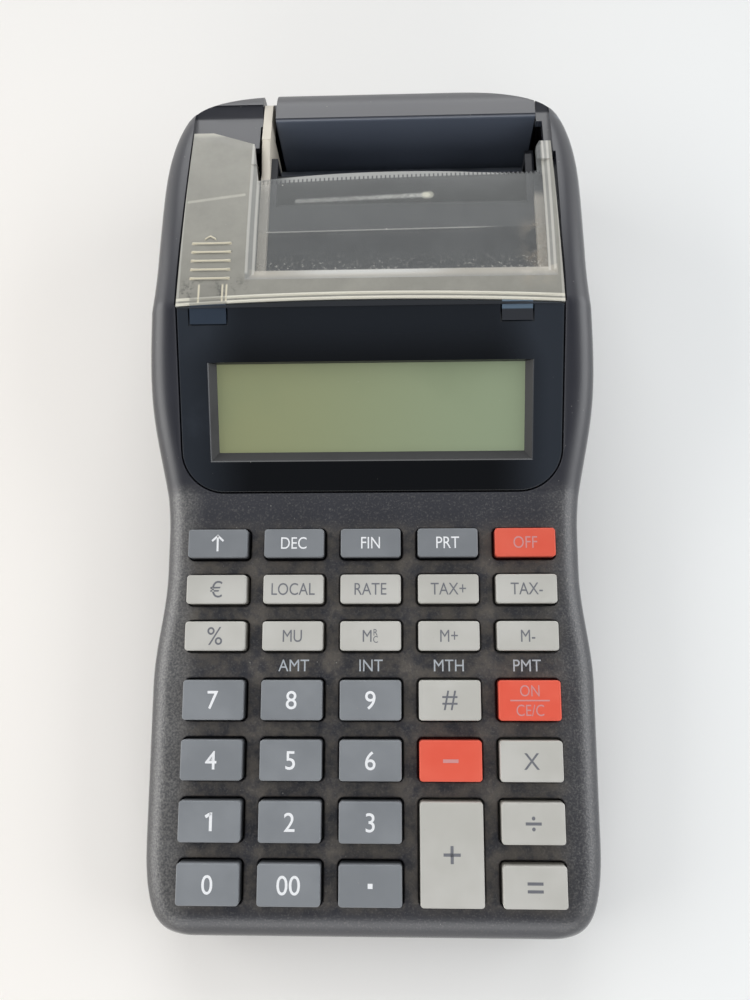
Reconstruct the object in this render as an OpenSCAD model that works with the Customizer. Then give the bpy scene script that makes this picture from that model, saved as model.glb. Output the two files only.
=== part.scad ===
// Handheld printing calculator: a waisted two-shell case with a sloped keyboard, a display fascia,
// a clear printer cover, a rear paper flap and a small drum printer.
// Origin: centre of the footprint on the table. X to the right, Y to the back, Z up. Millimetres.

/* [Body] */
// Length of the case, front to back
body_l = 192; // [188:1:204]
// Width across the display, the widest place
display_w = 98.8; // [97:0.2:104]
// Width across the keyboard
keyboard_w = 96.6; // [95.6:0.2:102]
// Width at the waist between keyboard and display
waist_w = 92; // [91:0.2:96]
// Width beside the printer cover
printer_w = 96; // [95:0.2:102]
// Height of the deck's top at the front row of keys
deck_z = 18; // [17:0.5:22]
// Height of the line where the two shells meet
part_z = 8; // [7:0.5:9]
// Fall of the roof from the cover's front edge to the rear
roof_fall = 6.4; // [4:0.2:8]
// Radius of the shoulder between top and sides
shoulder_r = 5; // [3:0.5:6]
// Wall thickness of the side walls
wall = 2.4; // [2:0.1:2.8]
// Thickness of the keyboard deck
deck_t = 2; // [1.6:0.1:2.4]
// Thickness of the lower case's floor
floor_t = 1.8; // [1.6:0.1:2.4]
// Height of the rubber feet
foot_h = 1.5; // [1:0.1:3]

/* [Keyboard] */
// Slope of the keyboard deck in degrees
deck_slope = 4.5; // [3:0.5:6]
// Distance between key columns
key_pitch = 16.7; // [16.4:0.1:17]
// Distance between the rows of number keys
number_pitch = 12.3; // [12:0.1:13]
// Distance between the rows of function keys
function_pitch = 10; // [9.5:0.1:10.5]
// Distance from the last function row to the first number row
group_pitch = 13.4; // [13:0.1:14.5]
// Width of a key
key_w = 13; // [12.6:0.1:13.8]
// Length of a number key
number_key_l = 8.3; // [8:0.1:9]
// Length of a function key
function_key_l = 6.2; // [6:0.1:6.8]
// Height of a key's top above the deck
key_h = 3.2; // [2.5:0.1:4]
// Corner radius of a key
key_r = 1; // [0.5:0.1:1.5]
// How far a key goes down
key_travel = 1.5; // [1:0.1:1.6]

/* [Display] */
// Slope of the display fascia in degrees
fascia_slope = 23; // [20:0.5:25]
// Length of the fascia on plan
fascia_run = 38.2; // [37.5:0.1:40]
// Width of the fascia
fascia_w = 84.6; // [82:0.2:86]
// Thickness of the fascia
fascia_t = 1.8; // [1.4:0.1:2]
// Corner radius at the fascia's lower end
fascia_r = 9.5; // [6:0.5:12]
// Width of the bevelled window, at the top
window_w = 71.4; // [68:0.2:73]
// Length of the bevelled window, at the top
window_l = 21.9; // [20:0.1:23]

/* [Printer cover and flap] */
// Width of the clear cover
cover_w = 84.4; // [82:0.2:86]
// Thickness of the clear cover
cover_t = 1.5; // [1.2:0.1:1.8]
// How far the cover slides back to come free
cover_travel = 6; // [4:0.5:6]
// Depth of the sunk window panel below the cover's top
panel_drop = 1.2; // [0.8:0.1:1.4]
// Width of the open slot at the left of the rear flap
notch_w = 3.3; // [2:0.1:4]

/* [Printer] */
// Width between the printer's side plates
plate_gap = 61; // [59:0.5:62]
// Thickness of a side plate
plate_t = 2; // [1.6:0.1:2.2]
// Radius of the type drum
drum_r = 7; // [6:0.1:7.2]
// Radius of the ink roller
ink_r = 4.6; // [4:0.1:4.8]
// Radius of the paper feed roller
feed_r = 3.6; // [3:0.1:3.8]
// Radius of the pressure roller
pressure_r = 2.8; // [2.4:0.1:3]
// Radius of the printer's shafts
shaft_r = 1.5; // [1.2:0.1:1.8]
// Radius of the motor
motor_r = 8; // [7:0.1:8.2]

/* [Batteries] */
// Diameter of a battery cell
cell_d = 14.5; // [14:0.1:14.5]
// Length of a battery cell
cell_l = 50.5; // [49:0.5:51]

/* [Hidden] */
$fn = 48;
// Fits: play of moving pieces, slip of fixed ones, shafts in their holes, hairline between faces
play = 0.35;
slip = 0.2;
run_fit = 0.05;
touch = 0.02;
end_gap = 0.3;
// Overlap within one piece, a size beyond every shape, and the room cut above a surface
eps = 0.01;
far = 300;
above = 10;

// Places along the body
front_y = -body_l / 2;
rear_y = body_l / 2;
row_inset = 11.5;
row7_y = front_y + row_inset;
row_v = [
    number_pitch * 3 + group_pitch + function_pitch * 2,
    number_pitch * 3 + group_pitch + function_pitch,
    number_pitch * 3 + group_pitch,
    number_pitch * 3,
    number_pitch * 2,
    number_pitch,
    0
];
fascia_gap = 11.4;
fascia_y0 = row7_y + row_v[0] + fascia_gap;
cover_y0 = fascia_y0 + fascia_run;
base_z = foot_h;
floor_z = base_z + floor_t;

// Outline of the case on plan
nose_run = 6;
nose_fall = 5.5;
tail_run = 4.5;
tail_fall = 5.5;
hip_run = 25;
waist_run = 8;
waist_gap = 9;
bust_run = 32;
tail_in_run = 27;
waist_y1 = fascia_y0 - waist_gap;
waist_y0 = waist_y1 - waist_run;
hip_y = waist_y0 - hip_run;
bust_y = waist_y1 + bust_run;
tail_y = bust_y + tail_in_run;
// Corners on plan: their width, their length and how square they are
front_corner = [11, 26, 2.5];
rear_corner = [42, 26, 3.1];
low_inset = 4;
side_land = 0.3;

function blend(a, b, u) = a + (b - a) * (1 - cos(180 * max(0, min(1, u)))) / 2;
function side_line(y) =
    y < waist_y1 ? blend(keyboard_w, waist_w, (y - hip_y) / (waist_y0 - hip_y)) / 2
    : y < bust_y ? blend(waist_w, display_w, (y - waist_y1) / (bust_y - waist_y1)) / 2
    : blend(display_w, printer_w, (y - bust_y) / (tail_y - bust_y)) / 2;
function corner_cut(size, d) =
    size[0] * (1 - pow(1 - pow(max(0, min(1, 1 - d / size[1])), size[2]), 1 / size[2]));
function half_w(y) =
    side_line(y) - corner_cut(front_corner, y - front_y) - corner_cut(rear_corner, rear_y - y);

// Height of the top along the body
function deck_top(y) = deck_z + (y - row7_y) * tan(deck_slope);
fascia_z0 = deck_top(fascia_y0);
function fascia_top(y) = fascia_z0 + (y - fascia_y0) * tan(fascia_slope);
ridge_z = fascia_top(cover_y0);
function roof_top(y) = ridge_z - roof_fall * pow((y - cover_y0) / (rear_y - cover_y0), 2);
function end_drop(fall, run, d) = fall * (1 - sqrt(1 - pow(max(0, min(1, 1 - d / run)), 2)));
function top_line(y) = y < fascia_y0 ? deck_top(y) : y < cover_y0 ? fascia_top(y) : roof_top(y);
function top_z(y) =
    top_line(y) - end_drop(nose_fall, nose_run, y - front_y) - end_drop(tail_fall, tail_run, rear_y - y);

// Stations of the outer skin: close together at the rounded ends
end_steps = 6;
deck_steps = 13;
fascia_steps = 6;
roof_steps = 8;
function spread(a, b, n) = [for (i = [0:n - 1]) a + (b - a) * i / n];
stations = concat(
    [for (i = [0:end_steps - 1]) front_y + nose_run * (1 - cos(90 * i / end_steps))],
    spread(front_y + nose_run, fascia_y0, deck_steps),
    spread(fascia_y0, cover_y0, fascia_steps),
    spread(cover_y0, rear_y - tail_run, roof_steps),
    [for (i = [0:end_steps]) rear_y - tail_run * (1 - sin(90 * i / end_steps))]
);

// One cross-section of the outer skin, right half from the bottom to the top
low_steps = 3;
arc_steps = 5;
function half_section(y) =
    let (w = half_w(y), t = top_z(y), r = min(shoulder_r, t - part_z - side_land))
    concat(
        [for (i = [0:low_steps]) let (a = 90 * i / low_steps)
            [w - low_inset * (1 - sin(a)), part_z - (part_z - base_z) * cos(a)]],
        [for (i = [0:arc_steps]) let (a = 90 * i / arc_steps)
            [w - r * (1 - cos(a)), t - r * (1 - sin(a))]]
    );
half_n = low_steps + arc_steps + 2;
ring_n = 2 * half_n;
function ring(y) =
    let (h = half_section(y))
    concat(
        [for (p = h) [p[0], y, p[1]]],
        [for (i = [half_n - 1:-1:0]) [-h[i][0], y, h[i][1]]]
    );

module body_skin() {
    n = len(stations);
    points = [for (y = stations) each ring(y)];
    sides = [for (s = [0:n - 2]) for (i = [0:ring_n - 1])
        let (a = s * ring_n + i, b = s * ring_n + (i + 1) % ring_n)
        each [[a, b, a + ring_n], [b, b + ring_n, a + ring_n]]];
    front = [[for (i = [ring_n - 1:-1:0]) i]];
    back = [[for (i = [0:ring_n - 1]) (n - 1) * ring_n + i]];
    polyhedron(points, concat(sides, front, back), convexity = 6);
}

// Frames of reference on the two sloped faces
module on_deck() { translate([0, row7_y, deck_z]) rotate([deck_slope, 0, 0]) children(); }
module on_fascia() { translate([0, fascia_y0, fascia_z0]) rotate([fascia_slope, 0, 0]) children(); }
// Turns a shape drawn on Y and Z so that its height runs along X
module along_x(x) { translate([x, 0, 0]) rotate([90, 0, 90]) children(); }
module box(low, high) { translate(low) cube(high - low); }
module round_rect(size, r) {
    square([size[0] - 2 * r, size[1]], center = true);
    square([size[0], size[1] - 2 * r], center = true);
    for (x = [-1, 1], y = [-1, 1])
        translate([x * (size[0] / 2 - r), y * (size[1] / 2 - r)]) circle(r);
}
module rod(x0, x1, r, at) { along_x(x0) translate([at[0], at[1], 0]) cylinder(r = r, h = x1 - x0); }

// Cavity of the case: its plan and its side view, both drawn in from the skin
nose_extra = 1;
nose_wall = wall + nose_extra;
front_in = front_y + nose_wall;
rear_in = rear_y - wall;
ledge_t = 1.6;
cover_gap = 0.4;
recess_d = cover_t + cover_gap;
roof_under = 2;
roof_t = recess_d + roof_under;
step = 2;
inner_steps = 24;
inner_stations = [for (i = [0:inner_steps])
    front_in + (rear_in - front_in) * (1 - cos(180 * i / inner_steps)) / 2];
function inner_w(y, inset) =
    min(half_w(y) - inset, half_w(min(rear_y, y + inset)), half_w(max(front_y, y - inset)));
module cavity_plan(inset) {
    polygon(concat(
        [for (y = inner_stations) [inner_w(y, inset), y]],
        [for (i = [inner_steps:-1:0]) [-inner_w(inner_stations[i], inset), inner_stations[i]]]
    ));
}
module cavity_side() {
    polygon(concat(
        [[front_in, base_z], [front_in, top_z(front_in) - deck_t]],
        [[front_y + nose_run, deck_top(front_y + nose_run) - deck_t]],
        [[fascia_y0 - step, deck_top(fascia_y0 - step) - deck_t]],
        [[fascia_y0 - step, fascia_top(fascia_y0 - step) - (fascia_t + ledge_t) / cos(fascia_slope)]],
        [[cover_y0 - step, ridge_z - roof_t]],
        [for (y = concat(spread(cover_y0, rear_y - tail_run, roof_steps), [rear_in]))
            [y, roof_top(y) - roof_t - end_drop(tail_fall, tail_run, rear_y - y)]],
        [[rear_in, base_z]]
    ));
}
module cavity() {
    intersection() {
        linear_extrude(far) cavity_plan(wall);
        along_x(-far / 2) linear_extrude(far) cavity_side();
    }
}

// Screw places: front pair, middle pair between the key groups, two pairs beside the mechanism
boss_r = 2;
slim_boss_r = 1.5;
screw_r = 1.05;
head_r = 2;
head_h = 1.6;
seat_z = base_z + 3;
screw_up = 5;
screw_room = 0.5;
boss_cap = 1.2;
front_boss = [30, front_y + nose_wall];
mid_boss_v = (row_v[2] - function_key_l / 2 + row_v[3] + number_key_l / 2) / 2;
mid_boss_n = deck_t + 1;
mid_boss_y = row7_y + mid_boss_v * cos(deck_slope) + mid_boss_n * sin(deck_slope);
mid_boss = [key_pitch * 1.5, mid_boss_y];
side_boss_gap = 3;
side_boss_ahead = 9.4;
side_boss_pitch = 38;
side_boss_x = printer_w / 2 - wall - side_boss_gap;
side_boss_y = [cover_y0 - side_boss_ahead, cover_y0 - side_boss_ahead + side_boss_pitch];
bosses = [
    [front_boss[0], front_boss[1], boss_r],
    [mid_boss[0], mid_boss[1], slim_boss_r],
    [side_boss_x, side_boss_y[0], boss_r],
    [side_boss_x, side_boss_y[1], boss_r]
];
module at_bosses() {
    for (b = bosses, side = [-1, 1]) translate([side * b[0], b[1], 0]) children();
}

// Keys: name, column, row, rows spanned, colour
dark_key = "dimgray";
light_key = "silver";
red_key = "tomato";
KEYS = [
    ["key_feed", 1, 1, 1, dark_key], ["key_decimal", 2, 1, 1, dark_key],
    ["key_final", 3, 1, 1, dark_key], ["key_print", 4, 1, 1, dark_key],
    ["key_off", 5, 1, 1, red_key],
    ["key_euro", 1, 2, 1, light_key], ["key_local", 2, 2, 1, light_key],
    ["key_rate", 3, 2, 1, light_key], ["key_tax_plus", 4, 2, 1, light_key],
    ["key_tax_minus", 5, 2, 1, light_key],
    ["key_percent", 1, 3, 1, light_key], ["key_markup", 2, 3, 1, light_key],
    ["key_memory_recall", 3, 3, 1, light_key], ["key_memory_plus", 4, 3, 1, light_key],
    ["key_memory_minus", 5, 3, 1, light_key],
    ["key_7", 1, 4, 1, dark_key], ["key_8", 2, 4, 1, dark_key], ["key_9", 3, 4, 1, dark_key],
    ["key_count", 4, 4, 1, light_key], ["key_on_clear", 5, 4, 1, red_key],
    ["key_4", 1, 5, 1, dark_key], ["key_5", 2, 5, 1, dark_key], ["key_6", 3, 5, 1, dark_key],
    ["key_minus", 4, 5, 1, red_key], ["key_times", 5, 5, 1, light_key],
    ["key_1", 1, 6, 1, dark_key], ["key_2", 2, 6, 1, dark_key], ["key_3", 3, 6, 1, dark_key],
    ["key_plus", 4, 7, 2, light_key], ["key_divide", 5, 6, 1, light_key],
    ["key_0", 1, 7, 1, dark_key], ["key_00", 2, 7, 1, dark_key],
    ["key_point", 3, 7, 1, dark_key], ["key_equals", 5, 7, 1, light_key]
];
function key_l(k) = (k[2] <= 3 ? function_key_l : number_key_l) + (k[3] - 1) * number_pitch;
function key_at(k) = [(k[1] - 3) * key_pitch, row_v[k[2] - 1] + (k[3] - 1) * number_pitch / 2];

// Heights below the deck's top, along its normal
flange_gap = 0.3;
flange_t = 0.9;
flange_over = 0.9;
flange_n = -deck_t - flange_gap;
press_gap = 0.6;
mat_t = 0.8;
board_t = 1.6;
mat_n = flange_n - flange_t - key_travel - press_gap;
board_n = mat_n - mat_t;
collar_h = press_gap - end_gap;
collar_r = 3.2;
stem_r = 1.6;
stem_hole_r = 2.4;
stem_gap = 0.3;
stem_n = board_n + stem_gap + key_travel;
mat_w = 4 * key_pitch + key_w + 2 * flange_over;
board_over = 0.3;
board_front_over = 0.35;
board_rear_over = 0.75;
boss_hole_gap = 0.7;
board_w = mat_w + 2 * board_over;
board_v0 = -number_key_l / 2 - flange_over - board_front_over;
board_v1 = row_v[0] + function_key_l / 2 + flange_over + board_rear_over;
boss_hole_r = slim_boss_r + boss_hole_gap;

module key(k) {
    size = [key_w, key_l(k)];
    over = [2 * flange_over, 2 * flange_over];
    color(k[4]) on_deck() translate(key_at(k)) {
        translate([0, 0, flange_n]) linear_extrude(key_h - flange_n) round_rect(size, key_r);
        translate([0, 0, flange_n - flange_t]) linear_extrude(flange_t) square(size + over, center = true);
        translate([0, 0, stem_n]) cylinder(r = stem_r, h = flange_n - stem_n);
    }
}

module key_holes() {
    on_deck() for (k = KEYS)
        translate(concat(key_at(k), [-2 * deck_t]))
            linear_extrude(4 * deck_t)
                round_rect([key_w + 2 * play, key_l(k) + 2 * play], key_r + play);
}

module key_mat() {
    color("darkslategray") on_deck() difference() {
        union() {
            translate([0, (board_v0 + board_v1) / 2, board_n + touch]) linear_extrude(mat_t - touch)
                square([mat_w, board_v1 - board_v0], center = true);
            for (k = KEYS)
                translate(concat(key_at(k), [mat_n - eps])) cylinder(r = collar_r, h = collar_h);
        }
        for (k = KEYS)
            translate(concat(key_at(k), [board_n - mat_t])) cylinder(r = stem_hole_r, h = 4 * mat_t);
        for (side = [-1, 1])
            translate([side * mid_boss[0], mid_boss_v, board_n - mat_t])
                cylinder(r = boss_hole_r, h = 4 * mat_t);
    }
}

module circuit_board() {
    color("darkgreen") on_deck() difference() {
        translate([0, (board_v0 + board_v1) / 2, board_n - board_t]) linear_extrude(board_t)
            square([board_w, board_v1 - board_v0], center = true);
        for (side = [-1, 1])
            translate([side * mid_boss[0], mid_boss_v, board_n - 2 * board_t])
                cylinder(r = boss_hole_r, h = 4 * board_t);
    }
}

// Display: fascia, glass, connector strips and driver board, along the fascia's own slope
fascia_l = fascia_run / cos(fascia_slope);
window_s0 = 7.1;
window_bevel = 1.7;
window_low_bevel = 1.9;
window_top_bevel = 0.4;
glass_t = 2.2;
glass_margin = 1.2;
glass_s0 = window_s0 - glass_margin;
glass_s1 = window_s0 + window_l + glass_margin;
glass_w = window_w + 2 * glass_margin;
strip_h = 1.5;
strip_w = 2;
strip_short = 4;
strip_in = 1;
strip_l = glass_w - strip_short;
strip_s = [glass_s0 + strip_in, glass_s1 - strip_in - strip_w];
panel_t = 1.2;
panel_side_over = 2.9;
panel_w = glass_w + 2 * panel_side_over;
panel_over = 0.4;
panel_boss_r = 1.1;
panel_boss_in = 4;
panel_boss_s = [glass_s0 + panel_boss_in, glass_s1 - panel_boss_in];
panel_n = -fascia_t - glass_t - strip_h;
// Tongues that hold the clear cover's front edge: middle and width of each
tongues = [[-35.2, 8], [32, 6.6]];
tongue_l = 3.8;
tongue_root = 1;
tongue_z = fascia_top(cover_y0 - tongue_l);

module fascia_shape(grow) {
    w = fascia_w / 2 + grow;
    r = fascia_r + grow;
    translate([-w, r - grow]) square([2 * w, fascia_l - r + 2 * grow]);
    translate([r - w, -grow]) square([2 * (w - r), r + eps]);
    for (x = [-1, 1]) translate([x * (w - r), r - grow]) circle(r);
}
module window_frustum() {
    s0 = window_s0;
    s1 = window_s0 + window_l;
    hull() {
        box([-window_w / 2, s0, 0], [window_w / 2, s1, 1]);
        box([window_bevel - window_w / 2, s0 + window_low_bevel, -fascia_t - eps],
            [window_w / 2 - window_bevel, s1 - window_top_bevel, -fascia_t]);
    }
}
module tongue_slots() {
    for (t = tongues)
        box([t[0] - t[1] / 2 - play, cover_y0 - tongue_l - play, tongue_z - play],
            [t[0] + t[1] / 2 + play, cover_y0 + 2 * tongue_l, ridge_z + above]);
}
module display_fascia() {
    color("black") difference() {
        on_fascia() difference() {
            translate([0, slip, touch - fascia_t]) linear_extrude(fascia_t - touch)
                intersection() {
                    fascia_shape(-slip);
                    translate([-fascia_w, 0]) square([2 * fascia_w, fascia_l - 2 * slip - play]);
                }
            window_frustum();
        }
        tongue_slots();
    }
}
module lcd_glass() {
    color("olivedrab") on_fascia()
        box([-glass_w / 2, glass_s0, touch - fascia_t - glass_t], [glass_w / 2, glass_s1, -fascia_t]);
}
module lcd_connector() {
    color("pink") on_fascia() for (s = strip_s)
        box([-strip_l / 2, s, panel_n + touch], [strip_l / 2, s + strip_w, panel_n + strip_h]);
}
module display_board() {
    color("darkgreen") on_fascia()
        box([-panel_w / 2, glass_s0 - panel_over, panel_n - panel_t],
            [panel_w / 2, glass_s1 + panel_over, panel_n]);
}
module display_seat() {
    on_fascia() {
        translate([0, 0, -fascia_t]) linear_extrude(far) fascia_shape(0);
        box([-glass_w / 2 - play, glass_s0 - play, -above], [glass_w / 2 + play, glass_s1 + play, 0]);
    }
}
module display_bosses() {
    on_fascia() for (side = [-1, 1], s = panel_boss_s)
        translate([side * (panel_w / 2 - panel_boss_r - slip), s, panel_n + touch])
            cylinder(r = panel_boss_r, h = -panel_n - fascia_t);
}

// Clear cover: front strip, wide left part, sunk window panel with a serrated rear edge, right prong
cover_x1 = cover_w / 2;
left_edge_x = -27;
right_edge_x = 40.6;
front_strip = 6.9;
window_run = 24.7;
tear_to_left = 14.5;
tear_to_prong = 10.2;
window_y0 = cover_y0 + front_strip;
tear_y = window_y0 + window_run;
left_rear_y = tear_y + tear_to_left;
left_chamfer = [9.8, 3.6];
prong_y = tear_y + tear_to_prong;
prong_w = 4.2;
cover_taper = 0.8;
tooth_pitch = 1;
tooth_d = 0.8;
frame_lap = 1.4;
ridge_count = 5;
ridge_pitch = 2.1;
ridge_h = 0.4;
ridge_l = 9;
ridge_w = 0.6;
ridge_x = -35;
roof_slices = 12;

module roof_band(low, high) {
    ys = [for (i = [0:roof_slices]) cover_y0 + (rear_y - tail_run / 2 - cover_y0) * i / roof_slices];
    along_x(-far / 2) linear_extrude(far) polygon(concat(
        [for (y = ys) [y, roof_top(y) + low]],
        [for (i = [roof_slices:-1:0]) [ys[i], roof_top(ys[i]) + high]]
    ));
}
module cover_plan() {
    difference() {
        polygon([
            [-cover_x1, cover_y0 + play], [cover_x1, cover_y0 + play], [cover_x1 - cover_taper, prong_y],
            [cover_x1 - prong_w, prong_y], [cover_x1 - prong_w, tear_y],
            [left_edge_x + frame_lap, tear_y], [left_edge_x, left_rear_y - left_chamfer[1]],
            [left_edge_x - left_chamfer[0], left_rear_y], [cover_taper - cover_x1, left_rear_y]
        ]);
        translate([left_edge_x, window_y0])
            square([right_edge_x - left_edge_x, tear_y - window_y0 + frame_lap]);
    }
}
module panel_plan() {
    x0 = left_edge_x - frame_lap;
    x1 = right_edge_x + frame_lap;
    teeth = floor((right_edge_x - left_edge_x) / tooth_pitch);
    translate([x0, window_y0 - frame_lap]) square([x1 - x0, tear_y - window_y0 + frame_lap]);
    for (i = [0:teeth - 1]) translate([left_edge_x + i * tooth_pitch, tear_y - eps])
        polygon([[0, 0], [tooth_pitch, 0], [tooth_pitch / 2, tooth_d]]);
}
module printer_cover() {
    color("beige", 0.5) {
        intersection() {
            roof_band(-cover_t, 0);
            linear_extrude(far) cover_plan();
        }
        intersection() {
            roof_band(-cover_t - panel_drop, -panel_drop);
            linear_extrude(far) panel_plan();
        }
        for (i = [0:ridge_count - 1]) let (y = window_y0 + i * ridge_pitch)
            box([ridge_x - ridge_l / 2, y, roof_top(y) - cover_t / 2],
                [ridge_x + ridge_l / 2, y + ridge_w, roof_top(y) + ridge_h]);
        for (t = tongues) along_x(t[0] - t[1] / 2) linear_extrude(t[1]) polygon([
            [cover_y0 - tongue_l, tongue_z], [cover_y0 + tongue_root, tongue_z],
            [cover_y0 + tongue_root, ridge_z - slip], [cover_y0, ridge_z]
        ]);
    }
}
module cover_seat() {
    ramp_l = cover_travel + play;
    intersection() {
        roof_band(-recess_d, above);
        box([-cover_x1 - play, cover_y0 - eps, 0], [cover_x1 + play, left_rear_y + play, far]);
    }
    along_x(-cover_x1 - play) linear_extrude(cover_w + 2 * play) polygon([
        [left_rear_y, roof_top(left_rear_y) - recess_d],
        [left_rear_y + ramp_l, roof_top(left_rear_y + ramp_l)],
        [left_rear_y + ramp_l, ridge_z + above], [left_rear_y, ridge_z + above]
    ]);
    intersection() {
        roof_band(-recess_d - panel_drop, above);
        box([left_edge_x - frame_lap - play, window_y0 - frame_lap - play, 0],
            [right_edge_x + frame_lap + play, tear_y + tooth_d + ramp_l, far]);
    }
}

// Printer bay and the side plates around it
plate_x0 = -25.5;
plate_x1 = plate_x0 + 2 * plate_t + plate_gap;
inner_x0 = plate_x0 + plate_t;
inner_x1 = plate_x1 - plate_t;
flap_l = 11.2;
bay_y1 = rear_y - flap_l;
bay_gap = 0.7;
module bay_hole() {
    box([plate_x0 - bay_gap, window_y0 - bay_gap, part_z + wall], [plate_x1 + bay_gap, bay_y1, far]);
    box([gear_x - play, feed_at[0] - feed_slot, feed_at[1]], [plate_x0, feed_at[0] + feed_slot, far]);
}

// Rear flap on two moulded pins
flap_pin_r = 0.8;
flap_barrel_r = 1.9;
flap_pin_l = 1.8;
flap_over = 1;
flap_wall = 1.6;
flap_lug_short = 14.5;
flap_lug_h = 1.2;
flap_lug_t = 3.8;
flap_axis_up = 4.6;
flap_x0 = plate_x0 - end_gap + notch_w;
flap_x1 = inner_x1 + flap_over;
flap_axis = [rear_y - flap_barrel_r, part_z + flap_axis_up];
flap_lug_x = flap_x1 - flap_lug_short;
flap_lug_z = flap_axis[1] + flap_barrel_r + flap_lug_h;
flap_lug_y = rear_y - flap_lug_t;
notch_d = 5;
module flap_region(grow) {
    box([flap_x0 - grow, bay_y1 - eps, flap_lug_z - 2 * grow], [flap_x1 + grow, rear_y + above, far]);
    box([flap_x0 - grow, flap_lug_y, flap_axis[1]],
        [flap_lug_x + grow, rear_y + above, flap_lug_z + 4 * eps]);
}
module rear_flap() {
    color("gray") {
        difference() {
            intersection() {
                body_skin();
                union() {
                    translate([0, play, 0]) flap_region(-eps);
                    rod(flap_x0, flap_lug_x, flap_barrel_r, flap_axis);
                }
            }
            intersection() {
                cavity();
                box([-far, bay_y1 + play + flap_wall, flap_lug_z - eps], [far, far, far]);
            }
        }
        rod(flap_x0 - flap_pin_l, flap_lug_x + flap_pin_l, flap_pin_r, flap_axis);
    }
}
module flap_bosses() {
    rod(flap_x0 - flap_pin_l - flap_over, flap_x0 - play, boss_r, flap_axis);
    rod(flap_lug_x + play, flap_lug_x + flap_pin_l + flap_over, boss_r, flap_axis);
}
module flap_hole() {
    flap_region(play);
    rod(flap_x0 - play, flap_lug_x + play, flap_barrel_r + play, flap_axis);
    box([flap_x0 - play, flap_axis[0] - flap_barrel_r - play, flap_axis[1] - flap_barrel_r - play],
        [flap_lug_x + play, rear_y + above, flap_axis[1] + eps]);
    rod(flap_x0 - flap_pin_l - slip, flap_lug_x + flap_pin_l + slip, flap_pin_r + run_fit, flap_axis);
    box([flap_x0 - notch_w, bay_y1 - eps, roof_top(rear_y) - notch_d], [flap_x0, rear_y + above, far]);
}

// Upper and lower case
module upper_case() {
    color("#23252b") difference() {
        union() {
            difference() {
                intersection() {
                    body_skin();
                    box([-far / 2, -far / 2, part_z], [far / 2, far / 2, far]);
                }
                cavity();
            }
            intersection() {
                body_skin();
                union() {
                    for (b = bosses, side = [-1, 1])
                        translate([side * b[0], b[1], part_z])
                            cylinder(r = b[2], h = top_z(b[1]) - part_z - boss_cap);
                    display_bosses();
                    flap_bosses();
                }
            }
        }
        at_bosses() translate([0, 0, part_z - eps])
            cylinder(r = screw_r + run_fit, h = screw_up + screw_room);
        key_holes();
        display_seat();
        tongue_slots();
        cover_seat();
        bay_hole();
        flap_hole();
    }
}

// Battery compartment: four cells side by side, lengthwise
cell_count = 4;
cell_play = 0.8;
bay_wall = 1.2;
contact_room = 1.5;
bay_w = cell_count * (cell_d + cell_play);
bay_l = cell_l + 2 * contact_room;
cells_ahead = 3.2;
cells_y0 = fascia_y0 - cells_ahead;
cells_y1 = cells_y0 + bay_l;
cells_z1 = floor_z + cell_d + slip * 3;
door_pin_r = 0.6;
door_barrel_r = floor_t / 2;
door_axis = [cells_y1 - play - door_barrel_r, base_z + floor_t / 2];
door_pin_l = 1.6;
dent_r = 6;
dent_d = 0.8;
module battery_door() {
    color("#23252b") {
        difference() {
            box([play - bay_w / 2, cells_y0 + play, base_z], [bay_w / 2 - play, door_axis[0], floor_z]);
            translate([0, cells_y0 + play, base_z - eps]) cylinder(r = dent_r, h = dent_d);
        }
        rod(play - bay_w / 2, bay_w / 2 - play, door_barrel_r, door_axis);
        rod(play - bay_w / 2 - door_pin_l, bay_w / 2 - play + door_pin_l, door_pin_r, door_axis);
    }
}
module battery_contacts() {
    leaf_t = 0.4;
    leaf_w = 9;
    spring_r = [3, 1.6];
    finger_w = 4;
    finger_h = 4;
    finger_tip = 1;
    color("silver") for (i = [0:cell_count - 1]) {
        x = (i - (cell_count - 1) / 2) * (cell_d + cell_play);
        z = floor_z + cell_d / 2;
        for (y = [cells_y0, cells_y1 - leaf_t])
            box([x - leaf_w / 2, y, z - leaf_w / 2], [x + leaf_w / 2, y + leaf_t, z + leaf_w / 2]);
        translate([x, cells_y0 + leaf_t - eps, z]) rotate([-90, 0, 0])
            cylinder(r1 = spring_r[0], r2 = spring_r[1], h = contact_room - leaf_t);
        along_x(x - finger_w / 2) linear_extrude(finger_w) polygon([
            [cells_y1 - leaf_t + eps, z + finger_h], [cells_y1 - contact_room, z],
            [cells_y1 - contact_room, z - finger_tip], [cells_y1 - leaf_t + eps, z - finger_tip]
        ]);
    }
}

// Printer places on Y and Z, and the gear train
tooth_m = 0.6;
pinion_n = 10;
idler_n = 20;
drum_n = 30;
feed_n = 20;
function pitch_r(n) = tooth_m * n / 2;
function toward(from, angle, d) = [from[0] + d * cos(angle), from[1] + d * sin(angle)];
nip = 0.3;
ink_gap = 0.15;
drum_ahead = 8;
drum_up = 16.2;
drum_at = [tear_y - drum_ahead, floor_z + drum_up];
feed_dir = atan2(3, 4);
idler_dir = -feed_dir;
feed_at = toward(drum_at, feed_dir, pitch_r(drum_n) + pitch_r(feed_n));
idler_at = toward(drum_at, idler_dir, pitch_r(drum_n) + pitch_r(idler_n));
motor_dir = feed_dir;
motor_at = toward(idler_at, motor_dir, pitch_r(idler_n) + pitch_r(pinion_n));
ink_dir = 130;
ink_at = toward(drum_at, ink_dir, drum_r + ink_r + ink_gap);
pressure_at = [feed_at[0] - feed_r - pressure_r - nip, feed_at[1]];
function mesh_phase(p, n, m, dir) = dir + 180 + 180 / m - (p - dir) * n / m;
drum_phase = feed_dir;
feed_phase = mesh_phase(drum_phase, drum_n, feed_n, feed_dir);
idler_phase = mesh_phase(drum_phase, drum_n, idler_n, idler_dir);
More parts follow.
